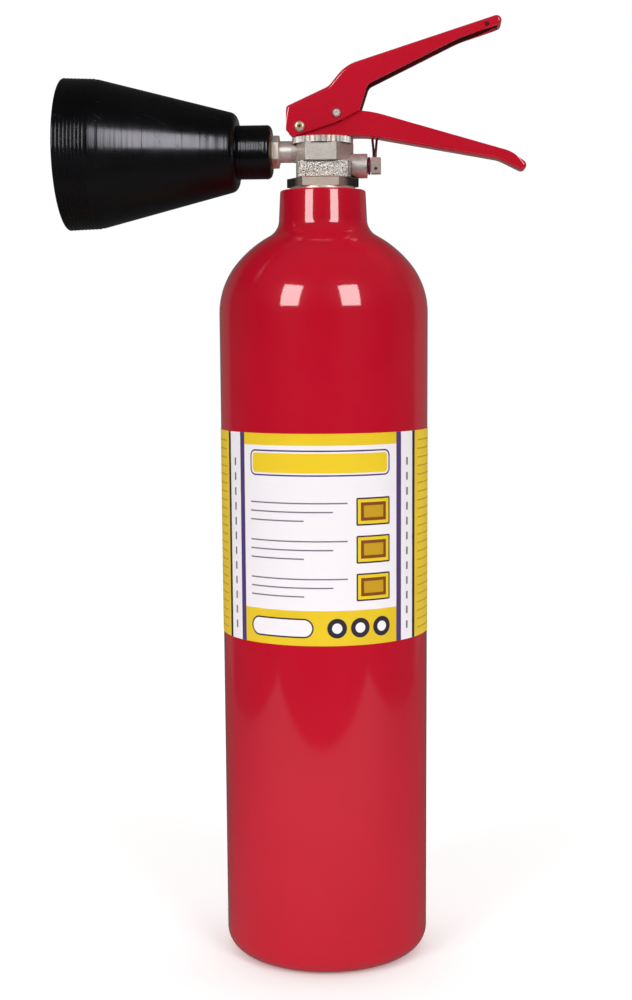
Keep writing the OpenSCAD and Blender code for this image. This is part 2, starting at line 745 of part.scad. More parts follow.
// Room for the safety pin as it swings with the lever
module pin_slot() {
    r = pin_d / 2 + grip_gap;
    low = pin_angle - lever_swing;
    polygon(concat(
        arc(pivot, pin_arm + r, low, pin_angle),
        arc(pin, r, pin_angle, pin_angle + 180),
        arc(pivot, pin_arm - r, pin_angle, low),
        arc(pivot + pin_arm * dir(low), r, low + 180, low + 360)
    ));
}

module lower_handle() color(red) difference() {
    from_side(handle_w) handle_outline();
    from_side(handle_inner_w) handle_inside();
    across(pivot, rivet_d + 2 * fixed_gap, handle_w + cut);
    from_side(handle_w + cut) pin_slot();
    translate([0, 0, z_web - cut]) cylinder(d = gland_d + 2 * fixed_gap, h = sheet + 2 * cut);
    for (x = tie_x)
        through_flange([x, tie_z], handle_w / 2, tie_d + 2 * grip_gap);
}

module pivot_rivet() color(brass) difference() {
    grip = lever_w + 2 * face_gap;
    union() {
        across(pivot, rivet_d, grip);
        for (s = [-1, 1])
            translate([pivot[0], s * grip / 2, pivot[1]]) rotate([-s * 90, 0, 0])
                cylinder(d1 = rivet_head_d, d2 = rivet_head_d - rivet_head_h, h = rivet_head_h);
    }
    across(pivot, rivet_d / 3, far);
}

module pivot_sleeve() color(steel) translate([pivot[0], handle_inner_w / 2 - fixed_gap, pivot[1]])
    rotate([90, 0, 0]) tube(rivet_d + 2 * sheet, rivet_d + 2 * fixed_gap, handle_inner_w - 2 * fixed_gap);

// Stem, plunger and spring
module valve_stem() color(steel) {
    translate([0, 0, z_plunger - stem_socket]) cylinder(d = stem_d, h = z_dome - z_plunger + stem_socket);
    translate([0, 0, z_dome]) sphere(d = stem_d);
}

module plunger() color(brass) difference() {
    union() {
        translate([0, 0, z_plunger - plunger_h]) cylinder(d = plunger_d, h = plunger_h);
        translate([0, 0, z_plunger - plunger_h - spigot_h])
            cylinder(d = spring_d - 2 * spring_wire, h = spigot_h + cut);
    }
    translate([0, 0, z_plunger - stem_socket]) cylinder(d = stem_d + 2 * fixed_gap, h = stem_socket + cut);
}

module seat_seal() color(rubber) translate([0, 0, z_plunger])
    tube(plunger_d, stem_d + 2 * fixed_gap, seat_seal_t);

module return_spring() color(steel) translate([0, 0, z_retainer + running_gap])
    coil(spring_d, spring_wire, z_plunger - plunger_h - z_retainer - 2 * running_gap, spring_turns);

// Safety pin and its ring
module safety_pin() {
    tip_y = -lever_w / 2 - pin_tip;
    stop_y = lever_w / 2 + face_gap;
    stop_t = 1.2;
    color(steel) difference() {
        union() {
            translate([pin[0], 0, pin[1]]) rotate([-90, 0, 0]) {
                translate([0, 0, tip_y + pin_tip]) cylinder(d = pin_d, h = eye_y - tip_y - pin_tip);
                translate([0, 0, tip_y]) cylinder(d1 = pin_d - pin_tip, d2 = pin_d, h = pin_tip);
                translate([0, 0, stop_y]) cylinder(d = pin_d + 2.4, h = stop_t);
            }
            translate([pin[0], eye_y, pin[1]]) cylinder(d = eye_d, h = eye_h, center = true);
        }
        translate([pin[0], eye_y, pin[1]]) cylinder(d = ring_wire + 4 * face_gap, h = far, center = true);
    }
}

module pull_ring() color(steel) translate([pin[0], eye_y + ring_d / 2, pin[1]]) rotate([0, 90, 0])
    rotate_extrude() translate([ring_d / 2, 0]) circle(d = ring_wire);

// Discharge pipe and horn, drawn along the pipe
module discharge_pipe() color(plated) at_left(-outlet_reach + outlet_socket, z_outlet) difference() {
    tail_l = outlet_socket + pipe_len + locknut_t + face_gap + pipe_end_l;
    union() {
        cylinder(d = spigot_d, h = outlet_socket + cut);
        translate([0, 0, outlet_socket]) cylinder(d = outlet_d, h = pipe_len);
        translate([0, 0, outlet_socket + cut]) cylinder(d = pipe_tail_d, h = tail_l - outlet_socket - cut);
    }
    translate([0, 0, -cut]) cylinder(d = pipe_bore_d, h = tail_l + 2 * cut);
}

module horn_locknut() color(plated) at_left(horn_x + locknut_t + face_gap, z_outlet) difference() {
    hexagon(locknut_af, locknut_t);
    translate([0, 0, -cut]) cylinder(d = pipe_tail_d + 2 * fixed_gap, h = locknut_t + 2 * cut);
}

module jet_nozzle() color(brass) at_left(horn_x - jet_l, z_outlet) difference() {
    nose = (jet_len - jet_socket) / 2;
    union() {
        cylinder(d = jet_d, h = jet_len - nose);
        translate([0, 0, jet_len - nose]) cylinder(d1 = jet_d, d2 = jet_d - nose, h = nose);
    }
    translate([0, 0, -cut]) cylinder(d = pipe_tail_d + 2 * fixed_gap, h = jet_socket + cut);
    cylinder(d = jet_bore_d, h = jet_len + cut);
}

module horn_outside() {
    back_r = horn_back_d / 2;
    collar_r = horn_collar_d / 2;
    c = [
        back_r + horn_back_edge * (tan(cone_angle) - 1 / cos(cone_angle)),
        horn_collar_len + horn_back_edge
    ];
    square([collar_r - horn_collar_edge, throat_l]);
    translate([0, horn_collar_edge]) square([collar_r, throat_l - horn_collar_edge]);
    translate([collar_r - horn_collar_edge, horn_collar_edge]) circle(horn_collar_edge);
    translate(c) circle(horn_back_edge);
    polygon([
        [0, horn_collar_len],
        [c[0], horn_collar_len],
        c + horn_back_edge * dir(-cone_angle),
        [rim_root_d / 2, rim_l],
        [mouth_d / 2, horn_len],
        [0, horn_len]
    ]);
    for (i = [0:rim_rings - 1])
        let (l = horn_len - rim_bead_r - i * rim_pitch)
        translate([
            (mouth_d - (mouth_d - rim_root_d) * (horn_len - l) / rim_len) / 2 - 0.4 * rim_bead_r,
            l
        ]) circle(rim_bead_r, $fn = 24);
}

module horn_inside() {
    throat_r = (horn_back_d - 2 * horn_wall / cos(cone_angle)) / 2 + horn_back_wall * tan(cone_angle);
    polygon([
        [0, throat_l],
        [throat_r, throat_l],
        [rim_root_d / 2 - horn_wall, rim_l],
        [mouth_d / 2 - horn_wall, horn_len + cut],
        [0, horn_len + cut]
    ]);
    translate([0, -cut]) square([bush_d / 2 + fixed_gap, throat_l + 2 * cut]);
}

module horn() color(black) at_left(horn_x, z_outlet) rotate_extrude() difference() {
    horn_outside();
    horn_inside();
}

module horn_bush() color(brass) at_left(horn_x, z_outlet) difference() {
    union() {
        cylinder(d = bush_d, h = throat_l + cut);
        translate([0, 0, throat_l]) cylinder(d = bush_flange_d, h = bush_flange_t);
    }
    translate([0, 0, -cut]) cylinder(d = pipe_tail_d + 2 * running_gap, h = flange_l + 2 * cut);
}

cylinder_shell();  // cylinder
label();
neck_seal();
valve_body();
gland_nut();
stem_seal();
spring_retainer();
dip_tube();
burst_disc();
disc_washer();
relief_nut();
seal_tie();
lower_handle();
pivot_rivet();
pivot_sleeve();
discharge_pipe();
horn_locknut();
jet_nozzle();
upper_lever();
valve_stem();
plunger();
seat_seal();
return_spring();
safety_pin();
pull_ring();
horn();
horn_bush();
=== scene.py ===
"""Carbon dioxide fire extinguisher of the 2 kg size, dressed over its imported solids.

Lengths are in metres. +Z is up, the origin is the middle of the foot, the horn points to -X,
the grips reach to +X and the middle of the label faces -Y.
"""
import json
import math

import bmesh
import bpy
from bpy.props import FloatProperty, FloatVectorProperty, IntProperty, PointerProperty
from bpy.types import Operator, Panel, PropertyGroup
from mathutils import Matrix, Vector


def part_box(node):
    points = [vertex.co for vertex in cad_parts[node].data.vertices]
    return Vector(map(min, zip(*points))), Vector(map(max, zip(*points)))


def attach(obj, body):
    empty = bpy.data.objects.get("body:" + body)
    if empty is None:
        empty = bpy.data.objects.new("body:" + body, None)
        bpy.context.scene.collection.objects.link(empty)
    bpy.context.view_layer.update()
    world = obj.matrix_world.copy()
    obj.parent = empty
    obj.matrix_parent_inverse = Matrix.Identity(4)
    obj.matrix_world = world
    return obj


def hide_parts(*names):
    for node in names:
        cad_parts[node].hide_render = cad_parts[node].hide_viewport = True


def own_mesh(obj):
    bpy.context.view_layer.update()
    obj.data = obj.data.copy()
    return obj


bl_info = {
    "name": "Fire Extinguisher",
    "version": (1, 0, 0),
    "blender": (4, 5, 0),
    "location": "View3D > Sidebar > Extinguisher",
    "description": "Dresses a carbon dioxide fire extinguisher over its packed solids",
    "category": "Add Mesh",
}

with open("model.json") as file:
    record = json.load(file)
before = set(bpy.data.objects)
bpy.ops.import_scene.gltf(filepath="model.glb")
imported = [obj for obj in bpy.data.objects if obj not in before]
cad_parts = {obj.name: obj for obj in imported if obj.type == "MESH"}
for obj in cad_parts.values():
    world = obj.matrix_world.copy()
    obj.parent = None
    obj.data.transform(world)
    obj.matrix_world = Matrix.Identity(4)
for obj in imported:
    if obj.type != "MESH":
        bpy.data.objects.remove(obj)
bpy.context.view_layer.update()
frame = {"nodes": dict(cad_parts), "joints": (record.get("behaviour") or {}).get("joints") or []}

MM = 0.001
RIGHT = math.pi / 2
MERGE = 1e-6
PRINT_BLEED = 0.06 * MM
WHITE = (1.0, 1.0, 1.0, 1.0)
ROOT = "extinguisher"

# Steps round a turned piece, a hole, the pull ring and its wire
SPIN_STEPS = 128
HOLE_STEPS = 48
RING_STEPS = 72
WIRE_STEPS = 16

# Share of a rim bead's radius that is sunk into the rim
BEAD_SUNK = 0.4

# Plates and discs on the label; rows of rules above a plate's middle, with their share of the full length
PLATE_ROWS = 3
DISC_COUNT = 3
RULE_ROWS = ((1, 1.0), (0, 0.86), (-1, 0.58))

# Spans of the stage's ramps: directions in the room, then metres on the floor
SKY_SPAN = (0.1, 0.6)
BACK_SPAN = (0.46, 0.62)
LIGHT_SPAN = (-0.2, 0.4)
TOP_SPAN = (0.2, 0.8)
WHITE_SPAN = (0.15, 0.55)
MIRROR_SPAN = (-0.45, 0.15)

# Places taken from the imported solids; a place seen from the side is (x, z)
JOINT_PLACE = {joint["name"]: Vector(joint["pos_m"]) for joint in frame["joints"] if "pos_m" in joint}
PIVOT = JOINT_PLACE["lever_squeeze"].xz
PIN_EYE = JOINT_PLACE["ring_swing"]
PIN = PIN_EYE.xz
OUTLET_Z = JOINT_PLACE["horn_spin"].z
CYLINDER_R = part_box("cylinder")[1].x
NECK_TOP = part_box("cylinder")[1].z
LABEL_LOW, LABEL_HIGH = (corner.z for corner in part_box("label"))
LABEL_R = -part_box("label")[0].y
FLANGE_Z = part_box("neck_seal")[1].z
WEB_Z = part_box("valve_body")[1].z
HORN_FRONT, HORN_BACK = (corner.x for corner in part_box("horn"))
HANDLE_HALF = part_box("lower_handle")[1].y
LEVER_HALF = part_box("upper_lever")[1].y


# Properties
def size(name, description, millimetres):
    """A length, given in millimetres."""
    return FloatProperty(
        name=name, description=description, default=millimetres * MM, unit="LENGTH", precision=5
    )


def turn(name, description, degrees):
    """An angle, given in degrees."""
    return FloatProperty(
        name=name, description=description, default=math.radians(degrees), subtype="ANGLE"
    )


def level(name, description, share):
    """A level of light, where 1 is white."""
    return FloatProperty(name=name, description=description, default=share, min=0.0, subtype="FACTOR")


def linear(screen):
    """Linear light of a screen level from 0 to 255."""
    share = screen / 255
    return share / 12.92 if share <= 0.04045 else ((share + 0.055) / 1.055) ** 2.4


def tint(name, description, red, green, blue):
    """A colour, given in screen levels."""
    return FloatVectorProperty(
        name=name,
        description=description,
        default=(linear(red), linear(green), linear(blue)),
        subtype="COLOR",
        min=0.0,
        max=1.0,
    )


class CylinderSizes(PropertyGroup):
    """Sizes of the steel cylinder"""

    wall: size("Wall", "Wall of the steel cylinder", 3.5)
    straight_top: size("Straight wall", "Height of the upper end of the straight wall", 339.8)
    shoulder_radius: size("Shoulder radius", "Radius of the shoulder above the straight wall", 40.0)
    shoulder_turn: turn("Shoulder turn", "Angle where the flatter crown takes over", 40.0)
    knuckle: size("Knuckle", "Radius between wall and foot", 11.0)
    foot_width: size("Foot width", "Width of the flat foot ring", 7.0)
    foot_hollow: size("Foot hollow", "Depth of the hollow under the foot", 7.0)
    neck_radius: size("Neck radius", "Outside radius of the neck", 22.0)
    neck_foot: size("Neck foot", "Outside radius of the neck where its fillet starts", 22.7)
    neck_bore: size("Neck bore", "Radius of the bore in the neck", 12.54)
    neck_fillet: size("Neck fillet", "Fillet between crown and neck", 9.5)
    neck_edge: size("Neck edge", "Rounding of the neck's upper edge", 1.2)


class LabelSizes(PropertyGroup):
    """Sizes of the printed label"""

    wrap: turn("Wrap", "Angle that the label wraps round", 300.0)
    thickness: size("Thickness", "Thickness of the film", 0.15)
    header: size("Header", "Height of the upper band", 5.9)
    footer: size("Footer", "Height of the lower band", 17.8)
    panel_middle: size("Panel middle", "Middle of the white panel, round the wall", 0.8)
    panel_half: size("Panel half", "Half the width of the white panel", 42.4)
    stripe: size("Stripe", "Width of the stripe beside the panel", 3.4)
    strip: size("Strip", "Width of the white strip outside the stripe", 9.4)
    line: size("Line", "Width of the line outside the strip", 2.4)
    dash: size("Dash", "Length of a dash on the white strips", 4.2)
    dash_step: size("Dash step", "Spacing of those dashes", 7.6)
    rule: size("Rule", "Thickness of a printed rule", 0.7)
    rule_step: size("Rule step", "Spacing of the rules in a group", 4.4)
    side_rule: size("Side rules", "Length of the rules on the yellow sides", 46.0)
    side_gap: size("Side gap", "Bare width between line and side rules", 3.0)
    margin: size("Margin", "Bare width round the printed fields", 4.5)
    title: size("Title", "Height of the blank title plate", 13.0)
    plate_width: size("Plate width", "Width of a blank plate", 19.0)
    plate_height: size("Plate height", "Height of a blank plate", 14.0)
    plate_step: size("Plate step", "Spacing of the blank plates", 19.0)
    frame: size("Frame", "Thickness of a printed frame", 0.8)
    bar_half: size("Bar half", "Half the length of the footer's blank bar", 17.5)
    disc: size("Disc", "Radius of a disc in the footer", 5.0)
    disc_step: size("Disc step", "Spacing of the discs", 12.0)


class HornSizes(PropertyGroup):
    """Sizes of the discharge horn"""

    bore: size("Bore", "Radius of the bore for the bush", 9.04)
    collar_radius: size("Collar radius", "Radius of the collar", 13.55)
    collar_length: size("Collar length", "Length of the collar", 17.4)
    collar_edge: size("Collar edge", "Rounding of the collar's rear edge", 2.5)
    back_radius: size("Back radius", "Radius at the back of the cone", 19.3)
    back_edge: size("Back edge", "Rounding at the back of the cone", 4.5)
    back_wall: size("Back wall", "Thickness of the wall at the back of the cone", 3.0)
    rim_length: size("Rim length", "Length of the ringed rim", 18.2)
    rim_root: size("Rim root", "Radius of the rim where the cone meets it", 37.4)
    mouth: size("Mouth", "Radius of the mouth, without its rings", 38.1)
    wall: size("Wall", "Wall of the cone and the rim", 2.6)
    lip: size("Lip", "Width of the bevel inside the mouth's lip", 0.3)
    rings: IntProperty(name="Rings", description="Number of rings round the rim", default=9, min=1)
    ring_pitch: size("Ring pitch", "Spacing of the rings", 1.9)
    ring_bead: size("Ring bead", "Radius of a ring's bead", 0.6)
    line_pitch: size("Line pitch", "Spacing of the fine turning lines round the cone", 0.9)
    line_depth: size("Line depth", "Depth of those lines", 0.34)
    groove_pitch: size("Groove pitch", "Spacing of the grooves round the collar", 1.3)
    groove_depth: size("Groove depth", "Depth of the grooves round the collar", 0.16)


class GripSizes(PropertyGroup):
    """Sizes of the lever and the handle"""

    sheet: size("Sheet", "Thickness of the steel sheet", 1.5)
    bend: size("Bend", "Outer radius of the folds", 1.7)
    edge: size("Edge", "Rounding of the sheet's cut edges", 0.3)
    lever_back: size("Lever back", "Length of the lever's plate behind the pivot", 6.9)
    lever_back_height: size("Back height", "Height of the lever's back edge above the pivot", 10.2)
    lever_corner: size("Back corner", "Rounding of the lever's upper back corner", 2.0)
    step_x: size("Step place", "Place of the lever's step ahead of the pivot", 14.8)
    step_height: size("Step height", "Height of the lever's step above the pivot", 19.8)
    step_radius: size("Step radius", "Radius of the lever's step", 7.0)
    knee_slope: turn("Knee slope", "Slope of the lever above its step", 50.0)
    knee_length: size("Knee length", "Length of that slope up to the knee", 13.2)
    knee_radius: size("Knee radius", "Radius of the lever's knee", 20.0)
    bar_slope: turn("Bar slope", "Slope of the lever's bar", 16.9)
    bar_length: size("Bar length", "Length of the lever's bar from knee to tip", 80.8)
    bar_tip: size("Bar tip", "Depth of the bar at its tip", 5.1)
    bar_root: size("Bar root", "Depth of the bar at its root", 12.5)
    bar_even: size("Even end", "Length of the bar's end of even depth", 22.5)
    bar_root_at: size("Root place", "Distance of the bar's root from the knee", 8.0)
    bar_blend: size("Bar blend", "Radius under the bar where its depth turns even", 60.0)
    root_radius: size("Root radius", "Radius at the bar's root", 4.0)
    heel_x: size("Heel place", "Place of the lever's heel ahead of the pivot", 30.5)
    heel_height: size("Heel height", "Height of the lever's heel above the pivot", 7.8)
    belly_x: size("Belly place", "Place of the bend in the lever's lower edge ahead of the pivot", 19.5)
    belly_height: size("Belly height", "Height of that bend above the pivot", 2.1)
    belly_radius: size("Belly radius", "Radius of that bend", 30.0)
    toe_cut: size("Toe cut", "Width and height of the cut corner behind the pivot", 3.2)
    toe_drop: size("Toe drop", "Depth of the lever's plate below the pivot", 5.0)
    toe_radius: size("Toe radius", "Rounding of the plate's lower corners", 1.0)
    tip_hole: size("Tip hole", "Radius of the hole at the lever's tip", 1.1)
    tip_sink: size("Tip countersink", "Radius of the countersink round the tip hole", 1.5)
    pin_hole: size("Pin hole", "Radius of the hole for the safety pin", 2.06)
    pin_sink: size("Pin countersink", "Radius of the countersink round the safety pin", 3.2)
    pivot_hole: size("Pivot hole", "Radius of the hole for the rivet", 2.06)
    level_end: size("Level end", "End of the handle's level part along X", 24.0)
    fall: turn("Fall", "Fall of the handle's bar", 10.5)
    fall_radius: size("Fall radius", "Radius where the handle starts to fall", 60.0)
    handle_length: size("Handle length", "Length of the handle's bar", 81.0)
    curl_at: size("Curl place", "Length of the bar up to its curled tip", 66.6)
    curl_drop: size("Curl drop", "Drop of the curled tip", 0.9)
    curl_radius: size("Curl radius", "Radius where the tip curls", 16.0)
    curl_lead: size("Curl lead", "Distance from the curl to the top edge's own curl", 5.0)
    tip_radius: size("Tip radius", "Radius of the handle's tip", 2.4)
    handle_root: size("Handle root", "Depth of the handle at its root", 12.2)
    handle_tip: size("Handle tip", "Depth of the handle at its curl", 4.85)
    ear_height: size("Ear height", "Height of the handle's ears round the safety pin", 16.2)
    ear_half: size("Ear half", "Half the width of the ears' top", 5.0)
    ear_foot: size("Ear foot", "Distance from the safety pin to the foot of the ears", 11.0)
    ear_step: size("Ear step", "Rise of the rim at the foot of the ears", 0.6)
    ear_radius: size("Ear radius", "Rounding of the ears", 3.0)
    lug_start: turn("Lug start", "Angle where the lug round the rivet starts", 110.0)
    lug_end: turn("Lug end", "Angle where that lug meets the underside", 260.0)
    slot_half: size("Slot half", "Half the width of the safety pin's slot", 2.3)
    slot_sweep: turn("Slot sweep", "Angle that the safety pin's slot takes in", 6.0)
    gland_hole: size("Gland hole", "Radius of the hole for the gland nut", 3.71)
    tie_hole: size("Tie hole", "Radius of the seal tie's holes", 1.0)
    tie_near: size("Near tie hole", "Place of the nearer tie hole along X", 24.8)
    tie_far: size("Far tie hole", "Place of the farther tie hole along X", 27.8)
    tie_rise: size("Tie rise", "Height of the tie holes above the underside", 5.0)


class SmallSizes(PropertyGroup):
    """Sizes of rivet, ring and softened edges"""

    rivet_radius: size("Rivet radius", "Radius of the rivet's shank", 2.0)
    rivet_bore: size("Rivet bore", "Radius of the rivet's bore", 0.67)
    rivet_crest: size("Rivet crest", "Radius of the rolled crest of a head", 1.3)
    rivet_head: size("Rivet head", "Radius of a rivet head", 2.7)
    rivet_head_height: size("Head height", "Height of a rivet head", 1.1)
    rivet_gap: size("Head gap", "Gap between a rivet head and the lever", 0.2)
    ring_radius: size("Ring radius", "Middle radius of the pull ring", 10.0)
    ring_wire: size("Ring wire", "Radius of the pull ring's wire", 0.9)
    pin_land: size("Pin land", "Flat ring round the mark in the pin's end", 0.7)
    pin_mark: size("Pin mark", "Depth of the centre mark in the pin's end", 0.4)
    flange_height: size("Flange height", "Height of the valve's polished flange", 4.4)
    block_height: size("Block height", "Height of the valve's rough block", 8.3)
    block_end: size("Block end", "Place of the block's end towards the relief boss", 14.7)
    # Where the painted shade on the flange's sides starts, and where it is darkest
    shading_start: size("Shading start", "Distance from the axis where the flange's grime starts", 10.5)
    shading_end: size("Shading end", "Distance from the axis where that grime is thickest", 14.5)
    cast_edge: size("Cast edge", "Rounding of the valve casting's edges", 0.4)
    nut_edge: size("Nut edge", "Rounding of the locknut's edges", 0.8)
    turned_edge: size("Turned edge", "Rounding of small turned edges", 0.25)


class FinishColours(PropertyGroup):
    """Colours of the finishes"""

    paint: tint("Paint", "Red of the gloss paint", 203, 13, 43)
    paint_deep: tint("Deep paint", "Darker red where the coat lies thicker", 195, 9, 37)
    # Painted shade: a darker red for the inside of the grips' folds
    fold_shade: tint("Fold shade", "Thin coat over dark primer inside the folds", 108, 8, 17)
    nickel: tint("Nickel", "Nickel plating", 242, 236, 232)
    nickel_warm: tint("Warm nickel", "Plating that lets the brass show through", 228, 210, 192)
    # Also the colour of the painted shade in the casting's creases and on the flange's sides
    soot_and_shade: tint("Soot", "Dirt in the pits of the casting", 72, 68, 64)
    brass: tint("Brass", "Machined brass", 212, 176, 102)
    brass_pale: tint("Pale brass", "Fresh brass of the neck's washer", 224, 212, 184)
    brass_dull: tint("Dull brass", "Tarnished brass", 158, 124, 68)
    zinc: tint("Zinc", "Zinc plated steel", 228, 220, 218)
    zinc_dull: tint("Dull zinc", "Greyed zinc", 196, 188, 186)
    horn: tint("Horn", "Black moulded plastic", 3, 3, 4)
    horn_dust: tint("Horn dust", "Dust on the black plastic", 7, 7, 8)
    horn_sheen: tint("Horn sheen", "Tint of the light that the black plastic mirrors", 247, 245, 255)
    tie: tint("Tie", "Maroon plastic of the seal tie", 96, 18, 44)
    tube: tint("Tube", "Plastic of the dip tube", 214, 210, 198)
    rubber: tint("Rubber", "Black seal rubber", 34, 33, 32)
    label_white: tint("Label white", "White of the label", 252, 246, 250)
    label_yellow: tint("Label yellow", "Yellow of the label", 246, 210, 40)
    label_ochre: tint("Label ochre", "Darker yellow of the label's rules", 206, 160, 28)
    label_brown: tint("Label brown", "Brown of the label's plates", 136, 74, 30)
    label_violet: tint("Label violet", "Violet of the label's stripes", 86, 62, 122)
    label_ink: tint("Label ink", "Dark print of the label's frames", 52, 46, 60)
    label_grey: tint("Label grey", "Grey of the label's rules", 120, 114, 128)


class StageSettings(PropertyGroup):
    """Camera, lamps and floor"""

    camera_azimuth: turn("Azimuth", "Place of the camera round the object", 4.0)
    camera_distance: size("Distance", "Level distance of the camera", 855.0)
    camera_height: size("Height", "Height of the camera", 330.0)
    camera_pitch: turn("Pitch", "Tilt of the camera downwards", 7.95)
    camera_yaw: turn("Yaw", "Turn of the camera to the right", -0.32)
    camera_roll: turn("Roll", "Roll of the camera", -0.38)
    camera_lens: FloatProperty(name="Lens", description="Focal length", default=58.6, unit="CAMERA")
    camera_shift: FloatProperty(
        name="Shift", description="Upward shift of the lens", default=0.06, subtype="FACTOR"
    )
    lamp_left: turn("Left lamp", "Place of the left soft box round the object", -33.0)
    lamp_right: turn("Right lamp", "Place of the right soft box round the object", 34.0)
    lamp_rise: turn("Lamp rise", "Height of the soft boxes seen from the shoulder", 21.2)
    lamp_distance: size("Lamp distance", "Distance of the soft boxes", 1200.0)
    lamp_width: size("Lamp width", "Width of a soft box", 440.0)
    lamp_height: size("Lamp height", "Height of a soft box", 610.0)
    lamp_power: FloatProperty(
        name="Lamp power", description="Power of a soft box", default=5.45, unit="POWER"
    )
    front_light: level("Front light", "Light of the room in front", 0.1)
    back_light: level("Back light", "Light of the backdrop", 0.8)
    top_light: level("Top light", "Light added from above", 0.55)
    front_mirror: level("Front mirrored", "Level of the room in front, in reflections", 0.02)
    back_mirror: level("Back mirrored", "Level of the backdrop near the floor, in reflections", 0.135)
    sky_mirror: level("Sky mirrored", "Level of the backdrop higher up, in reflections", 0.03)
    floor: tint("Floor", "Colour of the floor", 238, 238, 238)
    floor_lift: level("Floor lift", "White added to the floor near the object, where it is seen", 0.2)
    floor_fade: level("Floor fade", "White added to the floor far off, where it is seen", 0.31)
    floor_bounce: level("Floor bounce", "White added to the floor as light on the object", 0.45)
    floor_near: level("Near floor mirrored", "Level of the floor's front in reflections", 0.27)
    floor_far: level("Far floor mirrored", "Level of the floor's back in reflections", 0.09)
    floor_half: size("Floor half", "Half the width of the floor", 612.0)
    floor_middle: size("Floor middle", "Place of the floor's middle along X", 20.0)
    floor_front: size("Floor front", "Reach of the floor to the front", 520.0)
    floor_back: size("Floor back", "Reach of the floor to the back", 1200.0)


# Outlines
def heading(angle):
    """Unit step at an angle."""
    return Vector((math.cos(angle), math.sin(angle)))


def bearing(step):
    """Angle of a step."""
    return math.atan2(step.y, step.x)


def arc(centre, radius, start, end, steps=8):
    """Points along an arc."""
    centre = Vector(centre)
    return [centre + radius * heading(start + (end - start) * i / steps) for i in range(steps + 1)]


def tangent(point, centre, radius, side):
    """Where a line from a point touches a circle."""
    reach = centre - point
    return centre + radius * heading(bearing(reach) + side * (math.asin(radius / reach.length) + RIGHT))


def corner_arc(before, corner, after, radius, steps=8):
    """Rounding of one corner of an outline."""
    if radius <= 0:
        return [corner]
    back = (before - corner).normalized()
    ahead = (after - corner).normalized()
    half = back.angle(ahead) / 2
    centre = corner + (back + ahead).normalized() * (radius / math.sin(half))
    start = (corner + back * (radius / math.tan(half)) - centre).normalized()
    end = (corner + ahead * (radius / math.tan(half)) - centre).normalized()
    return [centre + start.slerp(end, i / steps) * radius for i in range(steps + 1)]


def rounded(corners, first, last):
    """Points of a closed outline from its corner first up to, not with, its corner last."""
    points = []
    for i in range(first, last):
        corner, radius = corners[i]
        after = corners[(i + 1) % len(corners)][0]
        for point in corner_arc(corners[i - 1][0], corner, after, radius):
            if not points or (point - points[-1]).length > MERGE:
                points.append(point)
    return points


# Meshes
def spin_profile(profile, place, axis, closed=False, sweep=math.tau, steps=SPIN_STEPS):
    """A bmesh turned from a profile of (radius, along) points, which place sets in space."""
    bm = bmesh.new()
    verts = [bm.verts.new(place(*point)) for point in profile]
    edges = [bm.edges.new(pair) for pair in zip(verts, verts[1:])]
    if closed:
        edges.append(bm.edges.new((verts[-1], verts[0])))
    bmesh.ops.spin(
        bm,
        geom=verts + edges,
        cent=place(0.0, 0.0),
        axis=axis,
        angle=sweep,
        steps=steps,
        use_merge=sweep == math.tau,
    )
    bmesh.ops.remove_doubles(bm, verts=bm.verts, dist=MERGE)
    bmesh.ops.recalc_face_normals(bm, faces=bm.faces)
    return bm


def welded_copy(node):
    """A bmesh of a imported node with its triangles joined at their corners."""
    bm = bmesh.new()
    bm.from_mesh(frame["nodes"][node].data)
    bmesh.ops.remove_doubles(bm, verts=bm.verts, dist=MERGE)
    return bm


def merged_copy(node):
    """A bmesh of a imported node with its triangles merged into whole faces."""
    bm = welded_copy(node)
    bmesh.ops.dissolve_limit(
        bm, angle_limit=math.radians(0.5), verts=bm.verts, edges=bm.edges, delimit=set()
    )
    return bm


def round_edges(bm, edges, width, segments, clamp):
    """Round some edges of a bmesh."""
    bmesh.ops.bevel(
        bm,
        geom=edges,
        offset=width,
        offset_type="OFFSET",
        segments=segments,
        profile=0.5,
        affect="EDGES",
        material=-1,
        clamp_overlap=clamp,
    )
    return bm


def soften(bm, width, sharper_than=40.0):
    """Round every edge of a bmesh that is sharper than an angle."""
    limit = math.radians(sharper_than)
    edges = [edge for edge in bm.edges if edge.is_manifold and edge.calc_face_angle() > limit]
    return round_edges(bm, edges, width, segments=3, clamp=True)


def bent_channel(web_corners, rim_corners, half_width, bend):
    """A folded sheet: two side plates inside web and rim corners, joined along the web."""
    corners = web_corners + rim_corners
    web = rounded(corners, 0, len(web_corners))
    rim = rounded(corners, len(web_corners), len(corners))
    bm = bmesh.new()
    folds = []
    for side in (-half_width, half_width):
        verts = [bm.verts.new((x, side, z)) for x, z in web + rim]
        bm.faces.new(verts)
        folds += [bm.edges.get(pair) for pair in zip(verts[: len(web)], verts[1 : len(web)])]
    bmesh.ops.bridge_loops(bm, edges=folds)
    bmesh.ops.recalc_face_normals(bm, faces=bm.faces)
    return round_edges(bm, folds, bend, segments=5, clamp=False)


def work_object(name, bm):
    """A bare object for a step of the modelling."""
    mesh = bpy.data.meshes.new(name)
    bm.to_mesh(mesh)
    bm.free()
    work = bpy.data.objects.new(name, mesh)
    bpy.context.scene.collection.objects.link(work)
    return work


def add_modifier(target, kind, **settings):
    """A modifier with its settings."""
    modifier = target.modifiers.new(kind.title(), kind)
    for key, value in settings.items():
        setattr(modifier, key, value)
    return modifier


